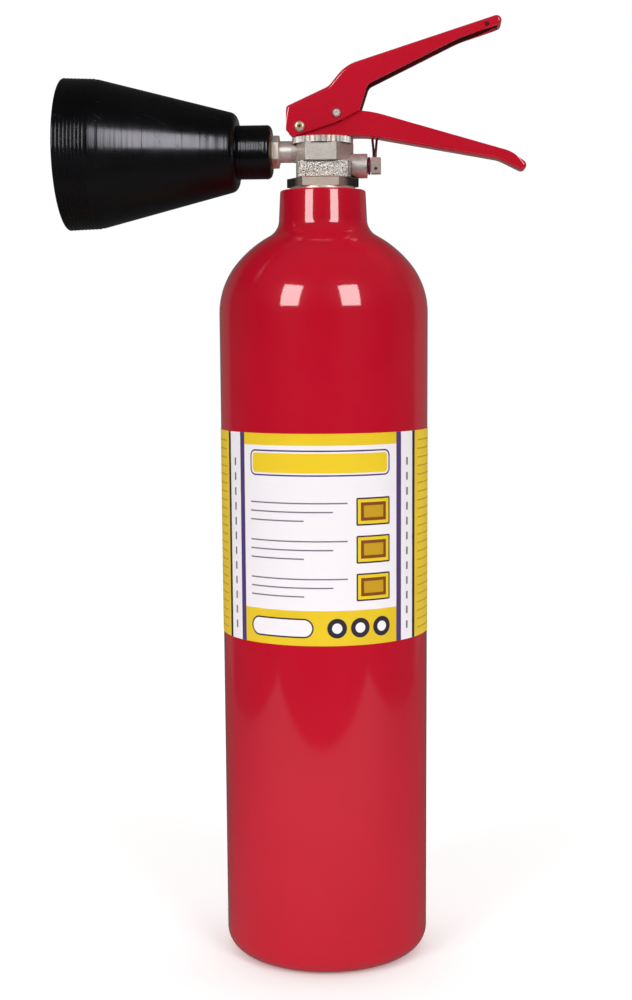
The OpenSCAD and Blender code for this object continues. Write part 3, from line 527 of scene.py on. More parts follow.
def painted_sheet(bm, grip, paints, *cutters):
    """Give a folded sheet its thickness, its paints and cut edges, and cut its holes."""
    work = work_object("sheet_work", bm)
    for paint in paints:
        work.data.materials.append(paint)
    # The solidified inner side takes the second material, the painted shade of the folds
    add_modifier(
        work,
        "SOLIDIFY",
        thickness=grip.sheet,
        offset=-1.0,
        use_even_offset=True,
        use_rim=True,
        material_offset=1,
    )
    add_modifier(
        work, "BEVEL", width=grip.edge, segments=3, limit_method="ANGLE", angle_limit=math.radians(60.0)
    )
    tools = [work_object("sheet_cutter", cutter) for cutter in cutters]
    for tool in tools:
        add_modifier(work, "BOOLEAN", operation="DIFFERENCE", solver="EXACT", object=tool)
    result = bmesh.new()
    result.from_object(work, bpy.context.evaluated_depsgraph_get())
    for used in [work, *tools]:
        mesh = used.data
        bpy.data.objects.remove(used)
        bpy.data.meshes.remove(mesh)
    return result


def drill(bm, place, radius, half_depth, across=0.0, far_radius=None):
    """A round cutter along Y at (x, z); its radius is that of the end that faces -Y."""
    bmesh.ops.create_cone(
        bm,
        cap_ends=True,
        segments=HOLE_STEPS,
        radius1=radius if far_radius is None else far_radius,
        radius2=radius,
        depth=2 * half_depth,
        matrix=Matrix.Translation((place[0], across, place[1])) @ Matrix.Rotation(RIGHT, 4, "X"),
    )


def add_piece(name, bm, body, materials, replaces, sharp=35.0):
    """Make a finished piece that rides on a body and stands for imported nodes."""
    piece = work_object(name, bm)
    piece.data.name = name
    piece.data.shade_smooth()
    piece.data.set_sharp_from_angle(angle=math.radians(sharp))
    for material in materials:
        piece.data.materials.append(material)
    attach(piece, body)
    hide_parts(*replaces)
    return piece


def flat_faced(piece):
    """Keep the flat faces of a piece flat beside their rounded edges."""
    add_modifier(piece, "WEIGHTED_NORMAL", keep_sharp=True)
    return piece


# Shader helpers
def put(tree, kind, inputs=None, **settings):
    """Add a node; an input is a socket to link or a value to set."""
    made = tree.nodes.new(kind)
    for key, value in settings.items():
        setattr(made, key, value)
    for key, value in (inputs or {}).items():
        if isinstance(value, bpy.types.NodeSocket):
            tree.links.new(value, made.inputs[key])
        else:
            made.inputs[key].default_value = value
    return made


def calc(tree, operation, *operands):
    """Output of a Math node."""
    return put(tree, "ShaderNodeMath", dict(enumerate(operands)), operation=operation).outputs[0]


def spread(tree, value, start, end, low=0.0, high=1.0, kind="LINEAR"):
    """Even slope from one level to another."""
    levels = {0: value, 1: start, 2: end, 3: low, 4: high}
    return put(tree, "ShaderNodeMapRange", levels, interpolation_type=kind).outputs[0]


def ramp(tree, value, start, end, low, high):
    """Smooth step from one level to another."""
    return spread(tree, value, start, end, low, high, "SMOOTHSTEP")


def noise(tree, vector, scale, detail):
    """Level of a noise."""
    return put(tree, "ShaderNodeTexNoise", {"Vector": vector, "Scale": scale, "Detail": detail}).outputs[0]


def split(tree, vector):
    """X, Y and Z of a vector."""
    return put(tree, "ShaderNodeSeparateXYZ", {0: vector}).outputs


def mirror_rays(tree, path):
    """Mask of the rays that a shiny or clear surface sends out."""
    return calc(tree, "MAXIMUM", path["Is Glossy Ray"], path["Is Transmission Ray"])


def opaque(colour):
    """A colour with full alpha."""
    return (*colour, 1.0)


def blended(tree, share, first, second):
    """Colour between two colours or sockets."""
    inputs = {0: share}
    for index, colour in ((6, first), (7, second)):
        inputs[index] = colour if isinstance(colour, bpy.types.NodeSocket) else opaque(colour)
    return put(tree, "ShaderNodeMix", inputs, data_type="RGBA").outputs[2]


def new_group(name, inputs, outputs):
    """An empty node group; sockets whose name is Vector carry vectors, the rest numbers."""
    tree = bpy.data.node_groups.new(name, "ShaderNodeTree")
    for names, direction in ((inputs, "INPUT"), (outputs, "OUTPUT")):
        for socket in names:
            kind = "NodeSocketVector" if socket == "Vector" else "NodeSocketFloat"
            tree.interface.new_socket(name=socket, in_out=direction, socket_type=kind)
    return tree, tree.nodes.new("NodeGroupInput").outputs, tree.nodes.new("NodeGroupOutput").inputs


def mottle_group():
    """Soft uneven patches between two levels."""
    tree, given, out = new_group("Mottle", ("Vector", "Scale", "Low", "High"), ("Value",))
    patches = noise(tree, given["Vector"], given["Scale"], detail=3.0)
    tree.links.new(spread(tree, patches, 0.3, 0.7, given["Low"], given["High"]), out["Value"])
    return tree


def grain_group():
    """Fine relief of a cast or sprayed surface, with its pits."""
    tree, given, out = new_group("Grain", ("Vector", "Scale", "Pits"), ("Height",))
    skin = noise(tree, given["Vector"], given["Scale"], detail=2.0)
    cells = put(tree, "ShaderNodeTexVoronoi", {"Vector": given["Vector"], "Scale": given["Scale"]})
    pits = calc(tree, "MULTIPLY", cells.outputs["Distance"], given["Pits"])
    tree.links.new(calc(tree, "ADD", skin, pits), out["Height"])
    return tree


def turning_group():
    """Lines that a turning tool or a mould leaves across one direction."""
    tree, given, out = new_group("Turning Lines", ("Along", "Pitch"), ("Height", "Cusps"))
    count = calc(tree, "DIVIDE", given["Along"], given["Pitch"])
    wave = calc(tree, "SINE", calc(tree, "MULTIPLY", count, math.tau))
    uneven = put(
        tree, "ShaderNodeTexNoise", {"W": count, "Scale": 0.37, "Detail": 2.0}, noise_dimensions="1D"
    )
    depth = spread(tree, uneven.outputs[0], 0.0, 1.0, low=0.3, high=0.7)
    tree.links.new(calc(tree, "MULTIPLY", wave, depth), out["Height"])
    fall = calc(tree, "SUBTRACT", 1.0, calc(tree, "FRACT", count))
    tree.links.new(calc(tree, "MULTIPLY", fall, depth), out["Cusps"])
    return tree


def scuff_group():
    """Sparse thin scratches, as a mask."""
    tree, given, out = new_group("Scuffs", ("Vector", "Scale", "Amount"), ("Mask",))
    stretched = put(
        tree,
        "ShaderNodeMapping",
        {"Vector": given["Vector"], "Rotation": (0.3, 0.5, 0.2), "Scale": (1.0, 9.0, 1.0)},
    )
    streaks = noise(tree, stretched.outputs[0], given["Scale"], detail=1.0)
    tree.links.new(spread(tree, streaks, 0.66, 0.74, 0.0, given["Amount"]), out["Mask"])
    return tree


def print_group():
    """Rounded blocks of a print, in rows across and up."""
    axes = ("Across", "Up")
    names = [f"{what}{axis}" for axis in axes for what in ("", "Middle ", "Half ", "Step ", "Copies ")]
    tree, given, out = new_group("Print Block", (*names, "Corner"), ("Mask",))
    outside = []
    for axis in axes:
        away = calc(tree, "SUBTRACT", given[axis], given["Middle " + axis])
        copy = calc(tree, "ROUND", calc(tree, "DIVIDE", away, given["Step " + axis]))
        last = calc(tree, "SUBTRACT", given["Copies " + axis], 1.0)
        copy = calc(tree, "MAXIMUM", calc(tree, "MINIMUM", copy, last), 0.0)
        away = calc(tree, "SUBTRACT", away, calc(tree, "MULTIPLY", copy, given["Step " + axis]))
        flat = calc(tree, "SUBTRACT", given["Half " + axis], given["Corner"])
        outside.append(calc(tree, "SUBTRACT", calc(tree, "ABSOLUTE", away), flat))
    squares = [calc(tree, "POWER", calc(tree, "MAXIMUM", side, 0.0), 2.0) for side in outside]
    round_part = calc(tree, "SQRT", calc(tree, "ADD", *squares))
    flat_part = calc(tree, "MINIMUM", calc(tree, "MAXIMUM", *outside), 0.0)
    distance = calc(tree, "SUBTRACT", calc(tree, "ADD", round_part, flat_part), given["Corner"])
    tree.links.new(spread(tree, distance, PRINT_BLEED, -PRINT_BLEED), out["Mask"])
    return tree


GROUP_MAKERS = {
    "Mottle": mottle_group,
    "Grain": grain_group,
    "Turning Lines": turning_group,
    "Scuffs": scuff_group,
    "Print Block": print_group,
}


def effect(tree, name, inputs):
    """Outputs of a shared effect placed in a material."""
    group = bpy.data.node_groups.get(name) or GROUP_MAKERS[name]()
    return put(tree, "ShaderNodeGroup", inputs, node_tree=group).outputs


def mottle(tree, place, scale, low=0.0, high=1.0):
    """Uneven patches in a material."""
    return effect(tree, "Mottle", {"Vector": place, "Scale": scale, "Low": low, "High": high})["Value"]


def grain(tree, place, scale, pits):
    """Fine relief in a material."""
    return effect(tree, "Grain", {"Vector": place, "Scale": scale, "Pits": pits})["Height"]


def turning_lines(tree, along, pitch):
    """Tool lines in a material."""
    return effect(tree, "Turning Lines", {"Along": along, "Pitch": pitch})


def scuffed(tree, place, dull, scale, amount):
    """Roughness with scratches added to it."""
    marks = effect(tree, "Scuffs", {"Vector": place, "Scale": scale, "Amount": amount})["Mask"]
    return calc(tree, "ADD", dull, marks)


def input_name(key):
    """Name of a shader input from its keyword."""
    return key.replace("_", " ").title().replace("Ior", "IOR")


def new_material(name, **constants):
    """A material, its node tree, its shader and its Object coordinates."""
    material = bpy.data.materials.new(name)
    material.use_nodes = True
    tree = material.node_tree
    shader = tree.nodes["Principled BSDF"]
    for key, value in constants.items():
        shader.inputs[input_name(key)].default_value = value
    place = put(tree, "ShaderNodeTexCoord").outputs["Object"]
    return material, tree, shader, place


def link(tree, shader, **sockets):
    """Link sockets to the shader's inputs."""
    for key, socket in sockets.items():
        tree.links.new(socket, shader.inputs[input_name(key)])


def crease_shade(tree, reach):
    """Mask of the inner corners of a piece, which are darkened there as painted shade."""
    shade = put(tree, "ShaderNodeAmbientOcclusion", {"Distance": reach}, samples=8, only_local=True)
    return spread(tree, shade.outputs["AO"], 0.85, 0.4)


def relief(tree, height, distance):
    """Normal of a bump of a given depth."""
    return put(tree, "ShaderNodeBump", {"Height": height, "Distance": distance, "Strength": 1.0}).outputs[0]


# Finishes
def paint_finish(name, colours, peel, roughness):
    """Gloss red paint with orange peel and a slightly uneven coat."""
    material, tree, shader, place = new_material(
        name, coat_weight=1.0, coat_roughness=0.07, coat_ior=1.76, specular_ior_level=0.1
    )
    thick = mottle(tree, place, scale=14.0)
    link(
        tree,
        shader,
        base_color=blended(tree, thick, colours.paint, colours.paint_deep),
        roughness=mottle(tree, place, 60.0, roughness, roughness + 0.12),
        normal=relief(tree, grain(tree, place, scale=420.0, pits=0.1), peel),
    )
    return material


def grip_paint(name, colours):
    """Red paint of the grips, a little flatter than the cylinder's."""
    return paint_finish(name, colours, peel=0.02 * MM, roughness=0.36)


def fold_shade_paint(name, colours):
    """Darker red inside the folds of the grips, as painted shade."""
    return plain_finish(
        name, colours.fold_shade, colours.fold_shade, roughness=0.5, grain_scale=420.0, grain_depth=0.02 * MM
    )


def grip_finishes(colours):
    """Materials of a folded grip: paint outside, painted shade inside."""
    return (
        finish_once("grip_paint", grip_paint, colours),
        finish_once("fold_shade_paint", fold_shade_paint, colours),
    )


def casting_finish(colours, small):
    """Nickel plated casting: rough and sooty on the block, smoother above and below, with painted shade in
    its creases and on the flange's sides.
    """
    material, tree, shader, place = new_material("plated_casting", metallic=0.85)
    axes = split(tree, place)
    up = axes["Z"]
    bottom = FLANGE_Z + small.flange_height
    top = bottom + small.block_height
    edge = small.cast_edge
    above = spread(tree, up, bottom - edge, bottom)
    below = spread(tree, up, top, top + edge, low=1.0, high=0.15)
    beside = spread(tree, axes["X"], small.block_end, small.block_end + edge, low=1.0, high=0.1)
    rough_cast = calc(tree, "MULTIPLY", calc(tree, "MULTIPLY", above, below), beside)
    skin = grain(tree, place, scale=1400.0, pits=1.0)
    pits = calc(tree, "MULTIPLY", spread(tree, skin, 1.0, 0.62), rough_cast)
    flange = spread(tree, up, bottom - edge, bottom, low=0.8, high=0.0)
    warm = calc(tree, "MAXIMUM", mottle(tree, place, scale=140.0, high=0.7), flange)
    # Painted shade on the flange's sides, darker away from the axis
    away = calc(tree, "ABSOLUTE", axes["X"])
    outward = ramp(tree, away, small.shading_start, small.shading_end, low=0.0, high=1.2)
    shading = calc(tree, "MULTIPLY", flange, outward)
    plating = blended(tree, warm, colours.nickel, colours.nickel_warm)
    # Soot in the pits, and painted shade in the creases and on the flange's sides
    dirt_and_shade = calc(tree, "MAXIMUM", pits, crease_shade(tree, reach=1.6 * MM))
    dirt_and_shade = calc(tree, "MAXIMUM", dirt_and_shade, shading)
    link(
        tree,
        shader,
        base_color=blended(tree, dirt_and_shade, plating, colours.soot_and_shade),
        roughness=mottle(tree, place, scale=500.0, low=0.4, high=0.54),
        normal=relief(tree, calc(tree, "MULTIPLY", skin, rough_cast), 0.28 * MM),
    )
    return material


def turned_finish(name, fine, dull_tint, axis, pitch, roughness, metallic=0.7):
    """Turned metal with fine tool lines across one axis."""
    material, tree, shader, place = new_material(name, metallic=metallic)
    lines = turning_lines(tree, split(tree, place)[axis], pitch)
    stain = mottle(tree, place, scale=180.0, high=0.8)
    dull = mottle(tree, place, 320.0, roughness, roughness + 0.14)
    link(
        tree,
        shader,
        base_color=blended(tree, stain, fine, dull_tint),
        roughness=scuffed(tree, place, dull, scale=260.0, amount=0.2),
        normal=relief(tree, lines["Height"], 0.02 * MM),
    )
    return material


def horn_finish(horn, colours):
    """Satin black plastic, duller below, with turning lines on top of its cone and a little dust."""
    material, tree, shader, place = new_material("horn_plastic")
    shader.inputs["Specular Tint"].default_value = opaque(colours.horn_sheen)
    axes = split(tree, place)
    along = axes["X"]
    lines = turning_lines(tree, along, horn.line_pitch)
    front = HORN_FRONT + horn.rim_length
    back = HORN_BACK - horn.collar_length
    away = calc(tree, "ABSOLUTE", calc(tree, "SUBTRACT", along, (front + back) / 2))
    cone = calc(tree, "LESS_THAN", away, (back - front) / 2)
    upper = ramp(tree, axes["Z"], OUTLET_Z - horn.bore, OUTLET_Z, 0.0, 1.0)
    worked = calc(tree, "MULTIPLY", cone, upper)
    haze = spread(tree, upper, 0.0, 1.0, low=0.2, high=0.0)
    dust = mottle(tree, place, scale=40.0)
    dull = mottle(tree, place, scale=90.0, low=0.17, high=0.22)
    worn = scuffed(tree, place, dull, scale=110.0, amount=0.12)
    link(
        tree,
        shader,
        base_color=blended(tree, dust, colours.horn, colours.horn_dust),
        specular_ior_level=spread(tree, upper, 0.0, 1.0, low=0.4, high=0.75),
        roughness=calc(tree, "ADD", worn, haze),
        normal=relief(tree, calc(tree, "MULTIPLY", lines["Cusps"], worked), horn.line_depth),
    )
    return material


def plain_finish(name, first, second, roughness, grain_scale, grain_depth):
    """Plain plastic or rubber with a fine skin."""
    material, tree, shader, place = new_material(name, specular_ior_level=0.4)
    patch = mottle(tree, place, scale=70.0)
    link(
        tree,
        shader,
        base_color=blended(tree, patch, first, second),
        roughness=mottle(tree, place, 160.0, roughness, roughness + 0.15),
        normal=relief(tree, grain(tree, place, grain_scale, pits=0.3), grain_depth),
    )
    return material


def print_block(colour, middle, half, corner=0.0, step=(1.0, 1.0), copies=(1, 1)):
    """A colour and the inputs of its Print Block."""
    inputs = {"Corner": corner}
    for i, axis in enumerate(("Across", "Up")):
        inputs["Middle " + axis] = middle[i]
        inputs["Half " + axis] = half[i]
        inputs["Step " + axis] = step[i]
        inputs["Copies " + axis] = copies[i]
    return colour, inputs


def edge_blocks(label, colours, side):
    """Stripe, strip with dashes, line and rules on one side of the panel."""
    height = LABEL_HIGH - LABEL_LOW
    blocks = []
    edge = label.panel_half
    for colour, width in (
        (colours.label_violet, label.stripe),
        (colours.label_white, label.strip),
        (colours.label_ink, label.line),
    ):
        place = label.panel_middle + side * (edge + width / 2)
        blocks.append(print_block(colour, (place, height / 2), (width / 2, height / 2)))
        edge += width
    dashes = label.panel_middle + side * (label.panel_half + label.stripe + label.strip / 2)
    blocks.append(
        print_block(
            colours.label_grey,
            (dashes, label.dash_step),
            (label.rule, label.dash / 2),
            label.rule,
            (1.0, label.dash_step),
            (1, int(height / label.dash_step) - 1),
        )
    )
    rules = label.panel_middle + side * (edge + label.side_gap + label.side_rule / 2)
    blocks.append(
        print_block(
            colours.label_ochre,
            (rules, label.rule_step),
            (label.side_rule / 2, label.rule / 2),
            0.0,
            (1.0, label.rule_step),
            (1, int(height / label.rule_step) - 1),
        )
    )
    return blocks


def framed_blocks(label, layers, middle, half, corner, step=(1.0, 1.0), copies=(1, 1)):
    """Blocks laid on each other, each a frame's thickness smaller than the one below."""
    blocks = []
    for i, colour in enumerate(layers):
        less = i * label.frame
        left = (half[0] - less, half[1] - less)
        blocks.append(print_block(colour, middle, left, max(corner - less, 0.0), step, copies))
    return blocks


def panel_blocks(label, colours):
    """White panel with a title plate, a column of plates and groups of rules beside them."""
    low = label.footer
    high = LABEL_HIGH - LABEL_LOW - label.header
    middle = label.panel_middle
    left = middle - label.panel_half + label.margin
    right = middle + label.panel_half - label.margin
    blocks = [
        print_block(colours.label_white, (middle, (low + high) / 2), (label.panel_half, (high - low) / 2))
    ]
    title = high - label.margin / 2 - label.title / 2
    blocks += framed_blocks(
        label,
        (colours.label_violet, colours.label_white, colours.label_yellow),
        (middle, title),
        ((right - left) / 2, label.title / 2),
        label.title / 4,
    )
    plates = (right - label.plate_width / 2, low + label.margin + label.plate_height / 2)
    rows = ((1.0, label.plate_step), (1, PLATE_ROWS))
    ink, yellow, brown = colours.label_ink, colours.label_yellow, colours.label_brown
    blocks += framed_blocks(
        label,
        (ink, yellow, yellow, brown, brown, colours.label_ochre),
        plates,
        (label.plate_width / 2, label.plate_height / 2),
        label.frame,
        *rows,
    )
    rules_end = right - label.plate_width - label.margin
    for i, share in RULE_ROWS:
        length = (rules_end - left) * share
        blocks.append(
            print_block(
                colours.label_grey,
                (left + length / 2, plates[1] + i * label.rule_step),
                (length / 2, label.rule / 2),
                0.0,
                *rows,
            )
        )
    return blocks


def footer_blocks(label, colours):
    """Blank bar and a row of discs on the lower band."""
    middle = label.footer / 2
    bar = label.panel_middle - label.panel_half + label.margin + label.bar_half
    row = (DISC_COUNT - 1) * label.disc_step
    discs = label.panel_middle + label.panel_half - label.margin - label.disc - row
    return framed_blocks(
        label,
        (colours.label_ink, colours.label_white),
        (bar, middle),
        (label.bar_half, label.disc),
        label.disc,
    ) + framed_blocks(
        label,
        (colours.label_ink, colours.label_ink, colours.label_ink, colours.label_white),
        (discs, middle),
        (label.disc, label.disc),
        label.disc,
        (label.disc_step, 1.0),
        (DISC_COUNT, 1),
    )


def label_finish(label, colours):
    """Printed film: bands, stripes and blank fields over yellow."""
    material, tree, shader, place = new_material("printed_film", specular_ior_level=0.3)
    axes = split(tree, place)
    turned = calc(tree, "ARCTAN2", axes["X"], calc(tree, "MULTIPLY", axes["Y"], -1.0))
    across = calc(tree, "MULTIPLY", turned, LABEL_R)
    up = calc(tree, "SUBTRACT", axes["Z"], LABEL_LOW)
    aged = mottle(tree, place, scale=30.0, high=0.25)
    colour = blended(tree, aged, colours.label_yellow, colours.label_ochre)
    blocks = edge_blocks(label, colours, -1) + edge_blocks(label, colours, 1)
    blocks += panel_blocks(label, colours) + footer_blocks(label, colours)
    for ink, inputs in blocks:
        mask = effect(tree, "Print Block", {"Across": across, "Up": up, **inputs})["Mask"]
        colour = blended(tree, mask, colour, ink)
    link(
        tree,
        shader,
        base_color=colour,
        roughness=mottle(tree, place, scale=50.0, low=0.34, high=0.46),
        normal=relief(tree, grain(tree, place, scale=600.0, pits=0.2), 0.015 * MM),
    )
    return material


def finish_once(name, maker, *arguments, **looks):
    """A material that several pieces share, made when first asked for."""
    return bpy.data.materials.get(name) or maker(name, *arguments, **looks)


def turned_once(name, fine, dull_tint, axis, **looks):
    """Turned metal with lines across an axis, shared by the pieces that ask for that axis."""
    return finish_once(f"{name}_{axis.lower()}", turned_finish, fine, dull_tint, axis, **looks)


def nickel(colours, axis="X"):
    """Turned nickel plating."""
    looks = {"pitch": 0.25 * MM, "roughness": 0.34}
    return turned_once("turned_nickel", colours.nickel, colours.nickel_warm, axis, **looks)


def brass(colours, axis="Z"):
    """Turned brass."""
    looks = {"pitch": 0.3 * MM, "roughness": 0.2}
    return turned_once("turned_brass", colours.brass, colours.brass_dull, axis, **looks)


def zinc(colours, axis="Y"):
    """Zinc plated steel."""
    looks = {"pitch": 0.2 * MM, "roughness": 0.36, "metallic": 0.4}
    return turned_once("zinc_steel", colours.zinc, colours.zinc_dull, axis, **looks)


# Operators
class StageOperator(Operator):
    """Set up camera, lamps, room light and floor"""

    bl_idname = "extinguisher.stage"
    bl_label = "Stage"

    def execute(self, context):
        stage = context.scene.extinguisher_stage
        context.scene.view_settings.view_transform = "Standard"
        self.place_camera(context, stage)
        for name, azimuth in (("soft_box_left", stage.lamp_left), ("soft_box_right", stage.lamp_right)):
            self.place_lamp(context, stage, name, azimuth)
        self.light_room(context, stage)
        self.lay_floor(stage)
        return {"FINISHED"}

    def place_camera(self, context, stage):
        """Stand the camera where the photograph was taken."""
        data = bpy.data.cameras.new("photo_camera")
        data.lens = stage.camera_lens
        data.shift_y = stage.camera_shift
        camera = bpy.data.objects.new("photo_camera", data)
        azimuth = stage.camera_azimuth
        eye = Vector((math.sin(azimuth), -math.cos(azimuth), 0.0)) * stage.camera_distance
        eye.z = stage.camera_height
        camera.matrix_world = (
            Matrix.Translation(eye)
            @ Matrix.Rotation(azimuth - stage.camera_yaw, 4, "Z")
            @ Matrix.Rotation(RIGHT - stage.camera_pitch, 4, "X")
            @ Matrix.Rotation(stage.camera_roll, 4, "Z")
        )
        context.scene.collection.objects.link(camera)
        context.scene.camera = camera

    def place_lamp(self, context, stage, name, azimuth):
        """Hang a soft box that faces the shoulder."""
        data = bpy.data.lights.new(name, "AREA")
        data.shape = "RECTANGLE"
        data.size = stage.lamp_width
        data.size_y = stage.lamp_height
        data.energy = stage.lamp_power
        lamp = bpy.data.objects.new(name, data)
        reach = math.cos(stage.lamp_rise)
        away = Vector((math.sin(azimuth) * reach, -math.cos(azimuth) * reach, math.sin(stage.lamp_rise)))
        lamp.location = Vector((0.0, 0.0, NECK_TOP)) + away * stage.lamp_distance
        lamp.rotation_mode = "QUATERNION"
        lamp.rotation_quaternion = (-away).to_track_quat("-Z", "Y")
        context.scene.collection.objects.link(lamp)

    def light_room(self, context, stage):
        """White where it is seen, dark in front in reflections, and soft as light."""
        world = bpy.data.worlds.new("studio")
        context.scene.world = world
        world.use_nodes = True
        tree = world.node_tree
        path = put(tree, "ShaderNodeLightPath").outputs
        around = put(tree, "ShaderNodeTexCoord").outputs["Generated"]
        axes = split(tree, around)
        rise = ramp(tree, axes["Z"], *SKY_SPAN, stage.back_mirror, stage.sky_mirror)
        mirrored = ramp(tree, axes["Y"], *BACK_SPAN, stage.front_mirror, rise)
        light = ramp(tree, axes["Y"], *LIGHT_SPAN, stage.front_light, stage.back_light)
        light = calc(tree, "ADD", light, ramp(tree, axes["Z"], *TOP_SPAN, 0.0, stage.top_light))
        shiny = mirror_rays(tree, path)
        strength = put(tree, "ShaderNodeMix", {0: shiny, 2: light, 3: mirrored}).outputs[0]
        strength = put(tree, "ShaderNodeMix", {0: path["Is Camera Ray"], 2: strength, 3: 1.0}).outputs[0]
        tree.links.new(strength, tree.nodes["Background"].inputs["Strength"])
        tree.nodes["Background"].inputs["Color"].default_value = WHITE

    def lay_floor(self, stage):
        """Lay a pale floor that keeps the shadow."""
        bm = bmesh.new()
        bmesh.ops.create_grid(bm, x_segments=1, y_segments=1, size=1.0)
        depth = (stage.floor_front + stage.floor_back) / 2
        bmesh.ops.scale(bm, verts=bm.verts, vec=(stage.floor_half, depth, 1.0))
        bmesh.ops.translate(bm, verts=bm.verts, vec=(stage.floor_middle, depth - stage.floor_front, 0.0))
        floor = work_object("studio_floor", bm)
        material, tree, shader, place = new_material("pale_floor", roughness=0.9, specular_ior_level=0.1)
        path = put(tree, "ShaderNodeLightPath").outputs
        shader.inputs["Base Color"].default_value = opaque(stage.floor)
        shader.inputs["Emission Color"].default_value = WHITE
        away = put(tree, "ShaderNodeVectorMath", {0: place}, operation="LENGTH").outputs["Value"]
        white = ramp(tree, away, *WHITE_SPAN, stage.floor_lift, stage.floor_fade)
        lift = calc(tree, "MULTIPLY", path["Is Camera Ray"], white)
        bounce = calc(tree, "MULTIPLY", path["Is Diffuse Ray"], stage.floor_bounce)
        tree.links.new(calc(tree, "ADD", lift, bounce), shader.inputs["Emission Strength"])
        seen = ramp(tree, split(tree, place)["Y"], *MIRROR_SPAN, stage.floor_near, stage.floor_far)
        mirrored = put(tree, "ShaderNodeEmission", {"Strength": seen})
        shiny = mirror_rays(tree, path)
        shown = put(tree, "ShaderNodeMixShader", {0: shiny, 1: shader.outputs[0], 2: mirrored.outputs[0]})
        tree.links.new(shown.outputs[0], tree.nodes["Material Output"].inputs["Surface"])
        floor.data.materials.append(material)


class CylinderOperator(Operator):
    """Turn the steel cylinder with its domed foot, shoulder and neck"""

    bl_idname = "extinguisher.cylinder"
    bl_label = "Cylinder"

    def execute(self, context):
        sizes = context.scene.extinguisher_cylinder
        bm = spin_profile(
            self.outside(sizes) + self.inside(sizes), lambda r, z: Vector((r, 0.0, z)), (0, 0, 1)
        )
        colours = context.scene.extinguisher_finish
        paint = paint_finish("gloss_paint", colours, peel=0.012 * MM, roughness=0.3)
        flat_faced(add_piece("cylinder_shell", bm, ROOT, (paint,), ("cylinder",)))
        return {"FINISHED"}

    def hollow(self, sizes, added):
        """Middle and radius of the domed foot's ball, and the angle of its edge, with a wall added."""
        edge = CYLINDER_R - sizes.knuckle - sizes.foot_width
        ball = (edge**2 + sizes.foot_hollow**2) / (2 * sizes.foot_hollow)
        middle = Vector((0.0, sizes.foot_hollow - ball))
        return middle, ball + added, math.asin((added - middle.y) / (ball + added))

    def dome(self, sizes):
        """Middles of the arcs of shoulder and crown, and the crown's radius."""
        shoulder = Vector((CYLINDER_R - sizes.shoulder_radius, sizes.straight_top))
        crown = Vector((0.0, shoulder.y - shoulder.x * math.tan(sizes.shoulder_turn)))
        return shoulder, crown, sizes.shoulder_radius + shoulder.x / math.cos(sizes.shoulder_turn)

    def outside(self, sizes):
        """Profile of the outside, from the middle of the foot to the neck's bore."""
        foot = CYLINDER_R - sizes.knuckle
        middle, ball, edge = self.hollow(sizes, 0.0)
        shoulder, crown, crown_radius = self.dome(sizes)
        fillet_x = sizes.neck_foot + sizes.neck_fillet
        reach = crown_radius + sizes.neck_fillet
        fillet = crown + Vector((fillet_x, math.sqrt(reach**2 - fillet_x**2)))
        touch = bearing(fillet - crown)
        lip = Vector((sizes.neck_radius - sizes.neck_edge, NECK_TOP - sizes.neck_edge))
        return (
            arc(middle, ball, RIGHT, edge, 12)
            + arc((foot, sizes.knuckle), sizes.knuckle, -RIGHT, 0.0, 12)
            + arc(shoulder, sizes.shoulder_radius, 0.0, sizes.shoulder_turn, 16)
            + arc(crown, crown_radius, sizes.shoulder_turn, touch, 12)[1:]
            + arc(fillet, sizes.neck_fillet, touch + math.pi, math.pi, 12)[1:]
            + arc(lip, sizes.neck_edge, 0.0, RIGHT, 6)
        )

    def inside(self, sizes):
        """Profile of the inside, from the neck's bore to the middle of the foot."""
        foot = CYLINDER_R - sizes.knuckle
        shoulder, crown, crown_radius = self.dome(sizes)
        inner = crown_radius - sizes.wall
        middle, ball, edge = self.hollow(sizes, sizes.wall)
        return (
            [Vector((sizes.neck_bore, NECK_TOP))]
            + arc(crown, inner, math.acos(sizes.neck_bore / inner), sizes.shoulder_turn, 10)
            + arc(shoulder, sizes.shoulder_radius - sizes.wall, sizes.shoulder_turn, 0.0, 12)[1:]
            + arc((foot, sizes.knuckle), sizes.knuckle - sizes.wall, 0.0, -RIGHT, 8)
            + arc(middle, ball, edge, RIGHT, 10)
        )


class LabelOperator(Operator):
    """Wrap the printed label round the cylinder"""

    bl_idname = "extinguisher.label"
    bl_label = "Label"

    def execute(self, context):
        sizes = context.scene.extinguisher_label
        inner = LABEL_R - sizes.thickness
        start = Matrix.Rotation(-RIGHT - sizes.wrap / 2, 3, "Z")
        outline = [(inner, LABEL_LOW), (LABEL_R, LABEL_LOW), (LABEL_R, LABEL_HIGH), (inner, LABEL_HIGH)]
        bm = spin_profile(
            outline,
            lambda r, z: start @ Vector((r, 0.0, z)),
            (0, 0, 1),
            closed=True,
            sweep=sizes.wrap,
        )
        ends = [edge for edge in bm.edges if edge.is_boundary]
        bmesh.ops.holes_fill(bm, edges=ends, sides=len(outline))
        bmesh.ops.recalc_face_normals(bm, faces=bm.faces)
        film = label_finish(sizes, context.scene.extinguisher_finish)
        add_piece("label_wrap", bm, ROOT, (film,), ("label",))
        return {"FINISHED"}


class ValveOperator(Operator):
    """Finish the valve casting, its flange and the seal under it"""

    bl_idname = "extinguisher.valve"
    bl_label = "Valve"

    def execute(self, context):
        small = context.scene.extinguisher_small
        colours = context.scene.extinguisher_finish
        body = soften(merged_copy("valve_body"), small.cast_edge)
        plating = casting_finish(colours, small)
        flat_faced(add_piece("valve_casting", body, ROOT, (plating,), ("valve_body",)))
        seal = soften(merged_copy("neck_seal"), small.turned_edge)
        pale = turned_finish(
            "pale_brass", colours.nickel, colours.brass_pale, "Z", pitch=0.3 * MM, roughness=0.3
        )
        flat_faced(add_piece("neck_washer", seal, ROOT, (pale,), ("neck_seal",)))
        nut = soften(merged_copy("relief_nut"), small.turned_edge)
        flat_faced(add_piece("relief_plug", nut, ROOT, (nickel(colours),), ("relief_nut",)))
        return {"FINISHED"}


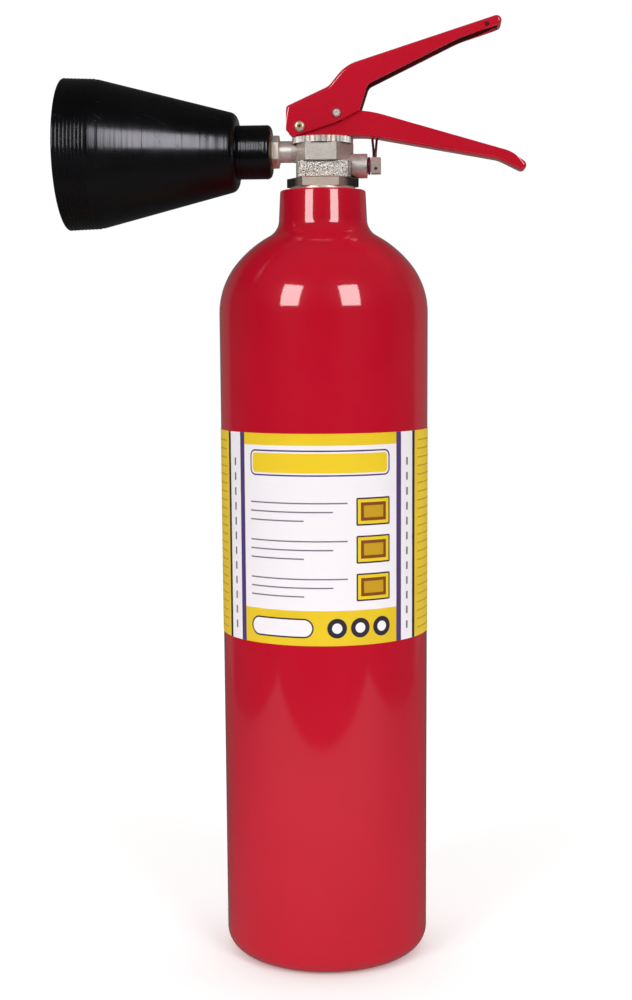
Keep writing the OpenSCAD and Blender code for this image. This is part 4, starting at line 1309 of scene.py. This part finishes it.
class WorksOperator(Operator):
    """Give the works inside the valve their finishes"""

    bl_idname = "extinguisher.works"
    bl_label = "Works"

    def execute(self, context):
        colours = context.scene.extinguisher_finish
        rubber = plain_finish(
            "seal_rubber",
            colours.rubber,
            colours.rubber,
            roughness=0.6,
            grain_scale=900.0,
            grain_depth=0.02 * MM,
        )
        tube = plain_finish(
            "tube_plastic",
            colours.tube,
            colours.label_white,
            roughness=0.35,
            grain_scale=500.0,
            grain_depth=0.01 * MM,
        )
        finishes = {
            brass(colours): ("gland_nut", "spring_retainer", "plunger"),
            brass(colours, "X"): ("disc_washer",),
            zinc(colours): ("pivot_sleeve",),
            zinc(colours, "Z"): ("valve_stem",),
            zinc(colours, "X"): ("burst_disc",),
            rubber: ("stem_seal", "seat_seal"),
            tube: ("dip_tube",),
        }
        for material, nodes in finishes.items():
            for node in nodes:
                data = frame["nodes"][node].data
                data.materials.clear()
                data.materials.append(material)
        self.wind_spring(colours)
        return {"FINISHED"}

    def wind_spring(self, colours):
        """Replace the return spring with a welded copy that rides on the root and has a mesh of its own."""
        coil = welded_copy("return_spring")
        spring = add_piece("stem_spring", coil, ROOT, (zinc(colours, "Z"),), ("return_spring",))
        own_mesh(spring)


class HandleOperator(Operator):
    """Fold the fixed carrying handle from sheet"""

    bl_idname = "extinguisher.handle"
    bl_label = "Handle"

    def execute(self, context):
        grip = context.scene.extinguisher_grip
        bm = bent_channel(*self.corners(grip), HANDLE_HALF, grip.bend)
        paints = grip_finishes(context.scene.extinguisher_finish)
        bm = painted_sheet(bm, grip, paints, self.holes(grip))
        flat_faced(add_piece("carry_handle", bm, ROOT, paints, ("lower_handle",)))
        return {"FINISHED"}

    def corners(self, grip):
        """Corners and their radii seen from the side: along the web, then back along the rim."""
        start = Vector((grip.level_end, WEB_Z))

        def bar(along, up):
            return start + along * heading(-grip.fall) + up * heading(RIGHT - grip.fall)

        def above(x, z):
            return Vector((x, WEB_Z + z))

        tip = bar(grip.handle_length - grip.tip_radius, -grip.curl_drop)
        curl = bar(grip.curl_at, 0.0)
        top = bar(grip.curl_at + grip.curl_lead, grip.handle_tip)
        under = bearing(tangent(curl, tip, grip.tip_radius, -1) - tip)
        over = bearing(tangent(top, tip, grip.tip_radius, 1) - tip)
        nose = [(point, 0.0) for point in arc(tip, grip.tip_radius, under, over, 12)]
        web = [(above(PIVOT.x, 0.0), 0.0), (start, grip.fall_radius), (curl, grip.curl_radius)] + nose
        rim = [
            (top, grip.curl_radius),
            (bar(0.0, grip.handle_root), grip.fall_radius),
            (above(PIN.x + grip.ear_foot, grip.handle_root + grip.ear_step), grip.ear_radius),
            (above(PIN.x + grip.ear_half, grip.ear_height), grip.ear_radius),
            (above(PIN.x - grip.ear_half, grip.ear_height), grip.ear_radius),
        ]
        lug = arc(PIVOT, PIVOT.y - WEB_Z, grip.lug_start, grip.lug_end, 15)
        return web, rim + [(point, 0.0) for point in lug]

    def holes(self, grip):
        """Cutters for rivet, safety pin, gland nut and seal tie."""
        bm = bmesh.new()
        through = 2 * HANDLE_HALF
        drill(bm, PIVOT, grip.pivot_hole, through)
        for x in (grip.tie_near, grip.tie_far):
            drill(bm, (x, WEB_Z + grip.tie_rise), grip.tie_hole, HANDLE_HALF / 2, across=HANDLE_HALF)
        bmesh.ops.create_cone(
            bm,
            cap_ends=True,
            segments=HOLE_STEPS,
            radius1=grip.gland_hole,
            radius2=grip.gland_hole,
            depth=3 * grip.sheet,
            matrix=Matrix.Translation((0.0, 0.0, WEB_Z)),
        )
        arm = (PIN - PIVOT).length
        high = bearing(PIN - PIVOT)
        low = high - grip.slot_sweep
        half = grip.slot_half
        slot = (
            arc(PIVOT, arm + half, low, high)
            + arc(PIN, half, high, high + math.pi)[1:-1]
            + arc(PIVOT, arm - half, high, low)
            + arc(PIVOT + arm * heading(low), half, low + math.pi, low + math.tau)[1:-1]
        )
        face = bm.faces.new([bm.verts.new((x, -through, z)) for x, z in slot])
        moved = bmesh.ops.extrude_face_region(bm, geom=[face])["geom"]
        verts = [part for part in moved if isinstance(part, bmesh.types.BMVert)]
        bmesh.ops.translate(bm, verts=verts, vec=(0.0, 2 * through, 0.0))
        bmesh.ops.recalc_face_normals(bm, faces=bm.faces)
        return bm


class LeverOperator(Operator):
    """Fold the squeeze lever from sheet"""

    bl_idname = "extinguisher.lever"
    bl_label = "Lever"

    def execute(self, context):
        grip = context.scene.extinguisher_grip
        web, rim, tip_hole = self.corners(grip)
        bm = bent_channel(web, rim, LEVER_HALF, grip.bend)
        holes = bmesh.new()
        for place, radius in ((PIVOT, grip.pivot_hole), (PIN, grip.pin_hole)):
            drill(holes, place, radius, 2 * LEVER_HALF)
        drill(holes, tip_hole, grip.tip_hole, 2 * grip.sheet, across=-LEVER_HALF)
        sinks = bmesh.new()
        depth = grip.sheet / 2
        for place, radius in ((PIN, grip.pin_sink), (tip_hole, grip.tip_sink)):
            drill(sinks, place, radius + depth, depth, across=-LEVER_HALF, far_radius=radius - depth)
        paints = grip_finishes(context.scene.extinguisher_finish)
        bm = painted_sheet(bm, grip, paints, holes, sinks)
        flat_faced(add_piece("squeeze_lever", bm, "lever", paints, ("upper_lever",)))
        return {"FINISHED"}

    def corners(self, grip):
        """Corners and their radii seen from the side, along web and rim, and the tip hole's place."""
        step = PIVOT + Vector((grip.step_x, grip.step_height))
        knee = step + grip.knee_length * heading(grip.knee_slope)
        nose = grip.bar_tip / 2

        def bar(along, up):
            return knee + along * heading(grip.bar_slope) + up * heading(grip.bar_slope + RIGHT)

        def beside(x, z):
            return PIVOT + Vector((x, z))

        web = [
            (beside(-grip.lever_back, grip.lever_back_height), grip.lever_corner),
            (step, grip.step_radius),
            (knee, grip.knee_radius),
            (bar(grip.bar_length, 0.0), nose),
            (bar(grip.bar_length, -grip.bar_tip), nose),
        ]
        rim = [
            (bar(grip.bar_length - grip.bar_even, -grip.bar_tip), grip.bar_blend),
            (bar(grip.bar_root_at, -grip.bar_root), grip.root_radius),
            (beside(grip.heel_x, grip.heel_height), grip.toe_radius),
            (beside(grip.belly_x, grip.belly_height), grip.belly_radius),
            (beside(grip.toe_cut - grip.lever_back, -grip.toe_drop), grip.toe_radius),
            (beside(-grip.lever_back, grip.toe_cut - grip.toe_drop), grip.toe_radius),
        ]
        return web, rim, bar(grip.bar_length - 3 * nose, -grip.sheet - nose / 2)


class PivotOperator(Operator):
    """Turn the tubular rivet that the lever swings on"""

    bl_idname = "extinguisher.pivot"
    bl_label = "Pivot rivet"

    def execute(self, context):
        small = context.scene.extinguisher_small
        seat = LEVER_HALF + small.rivet_gap
        crest = Vector((small.rivet_crest, seat))
        rolled = Vector((small.rivet_head - small.rivet_crest, small.rivet_head_height))
        half = [Vector((small.rivet_bore, seat + small.rivet_head_height / 2))]
        half += [crest + rolled * step for step in arc((0.0, 0.0), 1.0, RIGHT, 0.0, 6)]
        half.append(Vector((small.rivet_radius, seat)))
        profile = [Vector((r, -y)) for r, y in half] + half[::-1]
        bm = spin_profile(
            profile,
            lambda r, y: Vector((PIVOT.x + r, y, PIVOT.y)),
            (0, 1, 0),
            closed=True,
            steps=HOLE_STEPS,
        )
        colours = context.scene.extinguisher_finish
        metal = turned_finish(
            "rivet_plating", colours.nickel_warm, colours.brass, "Y", pitch=0.2 * MM, roughness=0.3
        )
        add_piece("lever_rivet", bm, ROOT, (metal,), ("pivot_rivet",))
        return {"FINISHED"}


class SafetyOperator(Operator):
    """Finish the safety pin, its pull ring and the seal tie"""

    bl_idname = "extinguisher.safety"
    bl_label = "Safety pin"

    def execute(self, context):
        small = context.scene.extinguisher_small
        colours = context.scene.extinguisher_finish
        pin = merged_copy("safety_pin")
        self.mark_end(pin, small)
        soften(pin, small.turned_edge)
        flat_faced(add_piece("locking_pin", pin, "pin", (zinc(colours),), ("safety_pin",)))
        wire = arc((small.ring_radius, 0.0), small.ring_wire, 0.0, math.tau, WIRE_STEPS)
        ring_y = PIN_EYE.y + small.ring_radius
        ring = spin_profile(
            wire[:-1],
            lambda r, x: Vector((PIN.x + x, ring_y - r, PIN.y)),
            (1, 0, 0),
            closed=True,
            steps=RING_STEPS,
        )
        add_piece("pin_ring", ring, "ring", (zinc(colours, "X"),), ("pull_ring",))
        tie = welded_copy("seal_tie")
        strand = plain_finish(
            "tie_plastic", colours.tie, colours.tie, roughness=0.3, grain_scale=700.0, grain_depth=0.01 * MM
        )
        piece = add_piece("tamper_tie", tie, ROOT, (strand,), ("seal_tie",), sharp=180.0)
        add_modifier(piece, "SUBSURF", levels=1, render_levels=1)
        return {"FINISHED"}

    def mark_end(self, pin, small):
        """Sink a centre mark into the pin's visible end."""
        end = min(pin.faces, key=lambda face: face.calc_center_median().y)
        bmesh.ops.inset_individual(pin, faces=[end], thickness=small.pin_land)
        bmesh.ops.inset_individual(pin, faces=[end], thickness=small.pin_mark / 2, depth=-small.pin_mark)


class DischargeOperator(Operator):
    """Finish the discharge pipe, its locknut, the horn's bush and the jet"""

    bl_idname = "extinguisher.discharge"
    bl_label = "Discharge pipe"

    def execute(self, context):
        small = context.scene.extinguisher_small
        colours = context.scene.extinguisher_finish
        for name, node, body, slot, metal, edge in (
            ("outlet_pipe", "discharge_pipe", ROOT, "plated", nickel(colours), small.turned_edge),
            ("horn_nut", "horn_locknut", ROOT, "plated", nickel(colours), small.nut_edge),
            ("gas_jet", "jet_nozzle", ROOT, "brass", brass(colours, "X"), small.turned_edge),
            ("swivel_bush", "horn_bush", "horn", "brass", brass(colours, "X"), small.turned_edge),
        ):
            flat_faced(add_piece(name, soften(merged_copy(node), edge), body, (metal,), (node,)))
        return {"FINISHED"}


class HornOperator(Operator):
    """Turn the black horn with its collar, cone and ringed rim"""

    bl_idname = "extinguisher.horn"
    bl_label = "Horn"

    def execute(self, context):
        sizes = context.scene.extinguisher_horn
        length = HORN_BACK - HORN_FRONT
        bm = spin_profile(
            self.outside(sizes, length) + self.inside(sizes, length),
            lambda r, along: Vector((HORN_BACK - along, 0.0, OUTLET_Z + r)),
            (1, 0, 0),
            closed=True,
        )
        plastic = horn_finish(sizes, context.scene.extinguisher_finish)
        add_piece("discharge_horn", bm, "horn", (plastic,), ("horn",), sharp=40.0)
        return {"FINISHED"}

    def cone(self, sizes, length):
        """Place of the rim's start along the horn, and slope of the cone."""
        rim = length - sizes.rim_length
        return rim, math.atan2(sizes.rim_root - sizes.back_radius, rim - sizes.collar_length)

    def outside(self, sizes, length):
        """Profile from the bore at the back to the lip, with grooves and rings."""
        rim, slope = self.cone(sizes, length)
        edge = sizes.back_edge
        back = Vector(
            (
                sizes.back_radius + edge * (math.tan(slope) - 1 / math.cos(slope)),
                sizes.collar_length + edge,
            )
        )
        collar = Vector((sizes.collar_radius - sizes.collar_edge, sizes.collar_edge))
        points = [Vector((sizes.bore, 0.0))] + arc(collar, sizes.collar_edge, -RIGHT, 0.0, 6)
        along = sizes.collar_edge + sizes.groove_pitch
        while along < sizes.collar_length - sizes.groove_pitch:
            points += self.groove(sizes, along)
            along += sizes.groove_pitch
        points.append(Vector((sizes.collar_radius, sizes.collar_length)))
        points += arc(back, edge, -RIGHT, -slope, 8)
        points.append(Vector((sizes.rim_root, rim)))
        for i in reversed(range(sizes.rings)):
            points += self.bead(sizes, length, length - sizes.ring_bead - i * sizes.ring_pitch)
        return points

    def groove(self, sizes, along):
        """A shallow groove round the collar."""
        half = sizes.groove_pitch / 4
        return [
            Vector((sizes.collar_radius, along - half)),
            Vector((sizes.collar_radius - sizes.groove_depth, along)),
            Vector((sizes.collar_radius, along + half)),
        ]

    def bead(self, sizes, length, along):
        """A rounded ring round the rim."""
        share = (length - along) / sizes.rim_length
        radius = sizes.mouth - (sizes.mouth - sizes.rim_root) * share - BEAD_SUNK * sizes.ring_bead
        half = math.acos(BEAD_SUNK)
        return arc((radius, along), sizes.ring_bead, -half, half, 6)

    def inside(self, sizes, length):
        """Profile from the lip back through the cone to the bore."""
        rim, slope = self.cone(sizes, length)
        throat = sizes.collar_length + sizes.back_wall
        throat_r = sizes.back_radius - sizes.wall / math.cos(slope) + sizes.back_wall * math.tan(slope)
        return [
            Vector((sizes.mouth - sizes.wall + sizes.lip, length)),
            Vector((sizes.mouth - sizes.wall, length - sizes.lip)),
            Vector((sizes.rim_root - sizes.wall, rim)),
            Vector((throat_r, throat)),
            Vector((sizes.bore, throat)),
        ]


OPERATORS = (
    StageOperator,
    CylinderOperator,
    LabelOperator,
    ValveOperator,
    WorksOperator,
    HandleOperator,
    LeverOperator,
    PivotOperator,
    SafetyOperator,
    DischargeOperator,
    HornOperator,
)
SETTINGS = {
    "extinguisher_cylinder": CylinderSizes,
    "extinguisher_label": LabelSizes,
    "extinguisher_horn": HornSizes,
    "extinguisher_grip": GripSizes,
    "extinguisher_small": SmallSizes,
    "extinguisher_finish": FinishColours,
    "extinguisher_stage": StageSettings,
}


class ExtinguisherPanel(Panel):
    """Lists the pieces of the extinguisher"""

    bl_idname = "VIEW3D_PT_extinguisher"
    bl_label = "Extinguisher"
    bl_space_type = "VIEW_3D"
    bl_region_type = "UI"
    bl_category = "Extinguisher"

    def draw(self, context):
        for operator in OPERATORS:
            self.layout.operator(operator.bl_idname)


def register():
    """Make the settings, operators and panel known to Blender."""
    for name, group in SETTINGS.items():
        bpy.utils.register_class(group)
        setattr(bpy.types.Scene, name, PointerProperty(type=group))
    for shown in (*OPERATORS, ExtinguisherPanel):
        bpy.utils.register_class(shown)


def unregister():
    """Take them away again."""
    for shown in (ExtinguisherPanel, *reversed(OPERATORS)):
        bpy.utils.unregister_class(shown)
    for name, group in SETTINGS.items():
        delattr(bpy.types.Scene, name)
        bpy.utils.unregister_class(group)


def main():
    """Build the stage and every piece."""
    register()
    bpy.ops.extinguisher.stage()
    bpy.ops.extinguisher.cylinder()
    bpy.ops.extinguisher.label()
    bpy.ops.extinguisher.valve()
    bpy.ops.extinguisher.works()
    bpy.ops.extinguisher.handle()
    bpy.ops.extinguisher.lever()
    bpy.ops.extinguisher.pivot()
    bpy.ops.extinguisher.safety()
    bpy.ops.extinguisher.discharge()
    bpy.ops.extinguisher.horn()


if __name__ == "__main__":
    main()
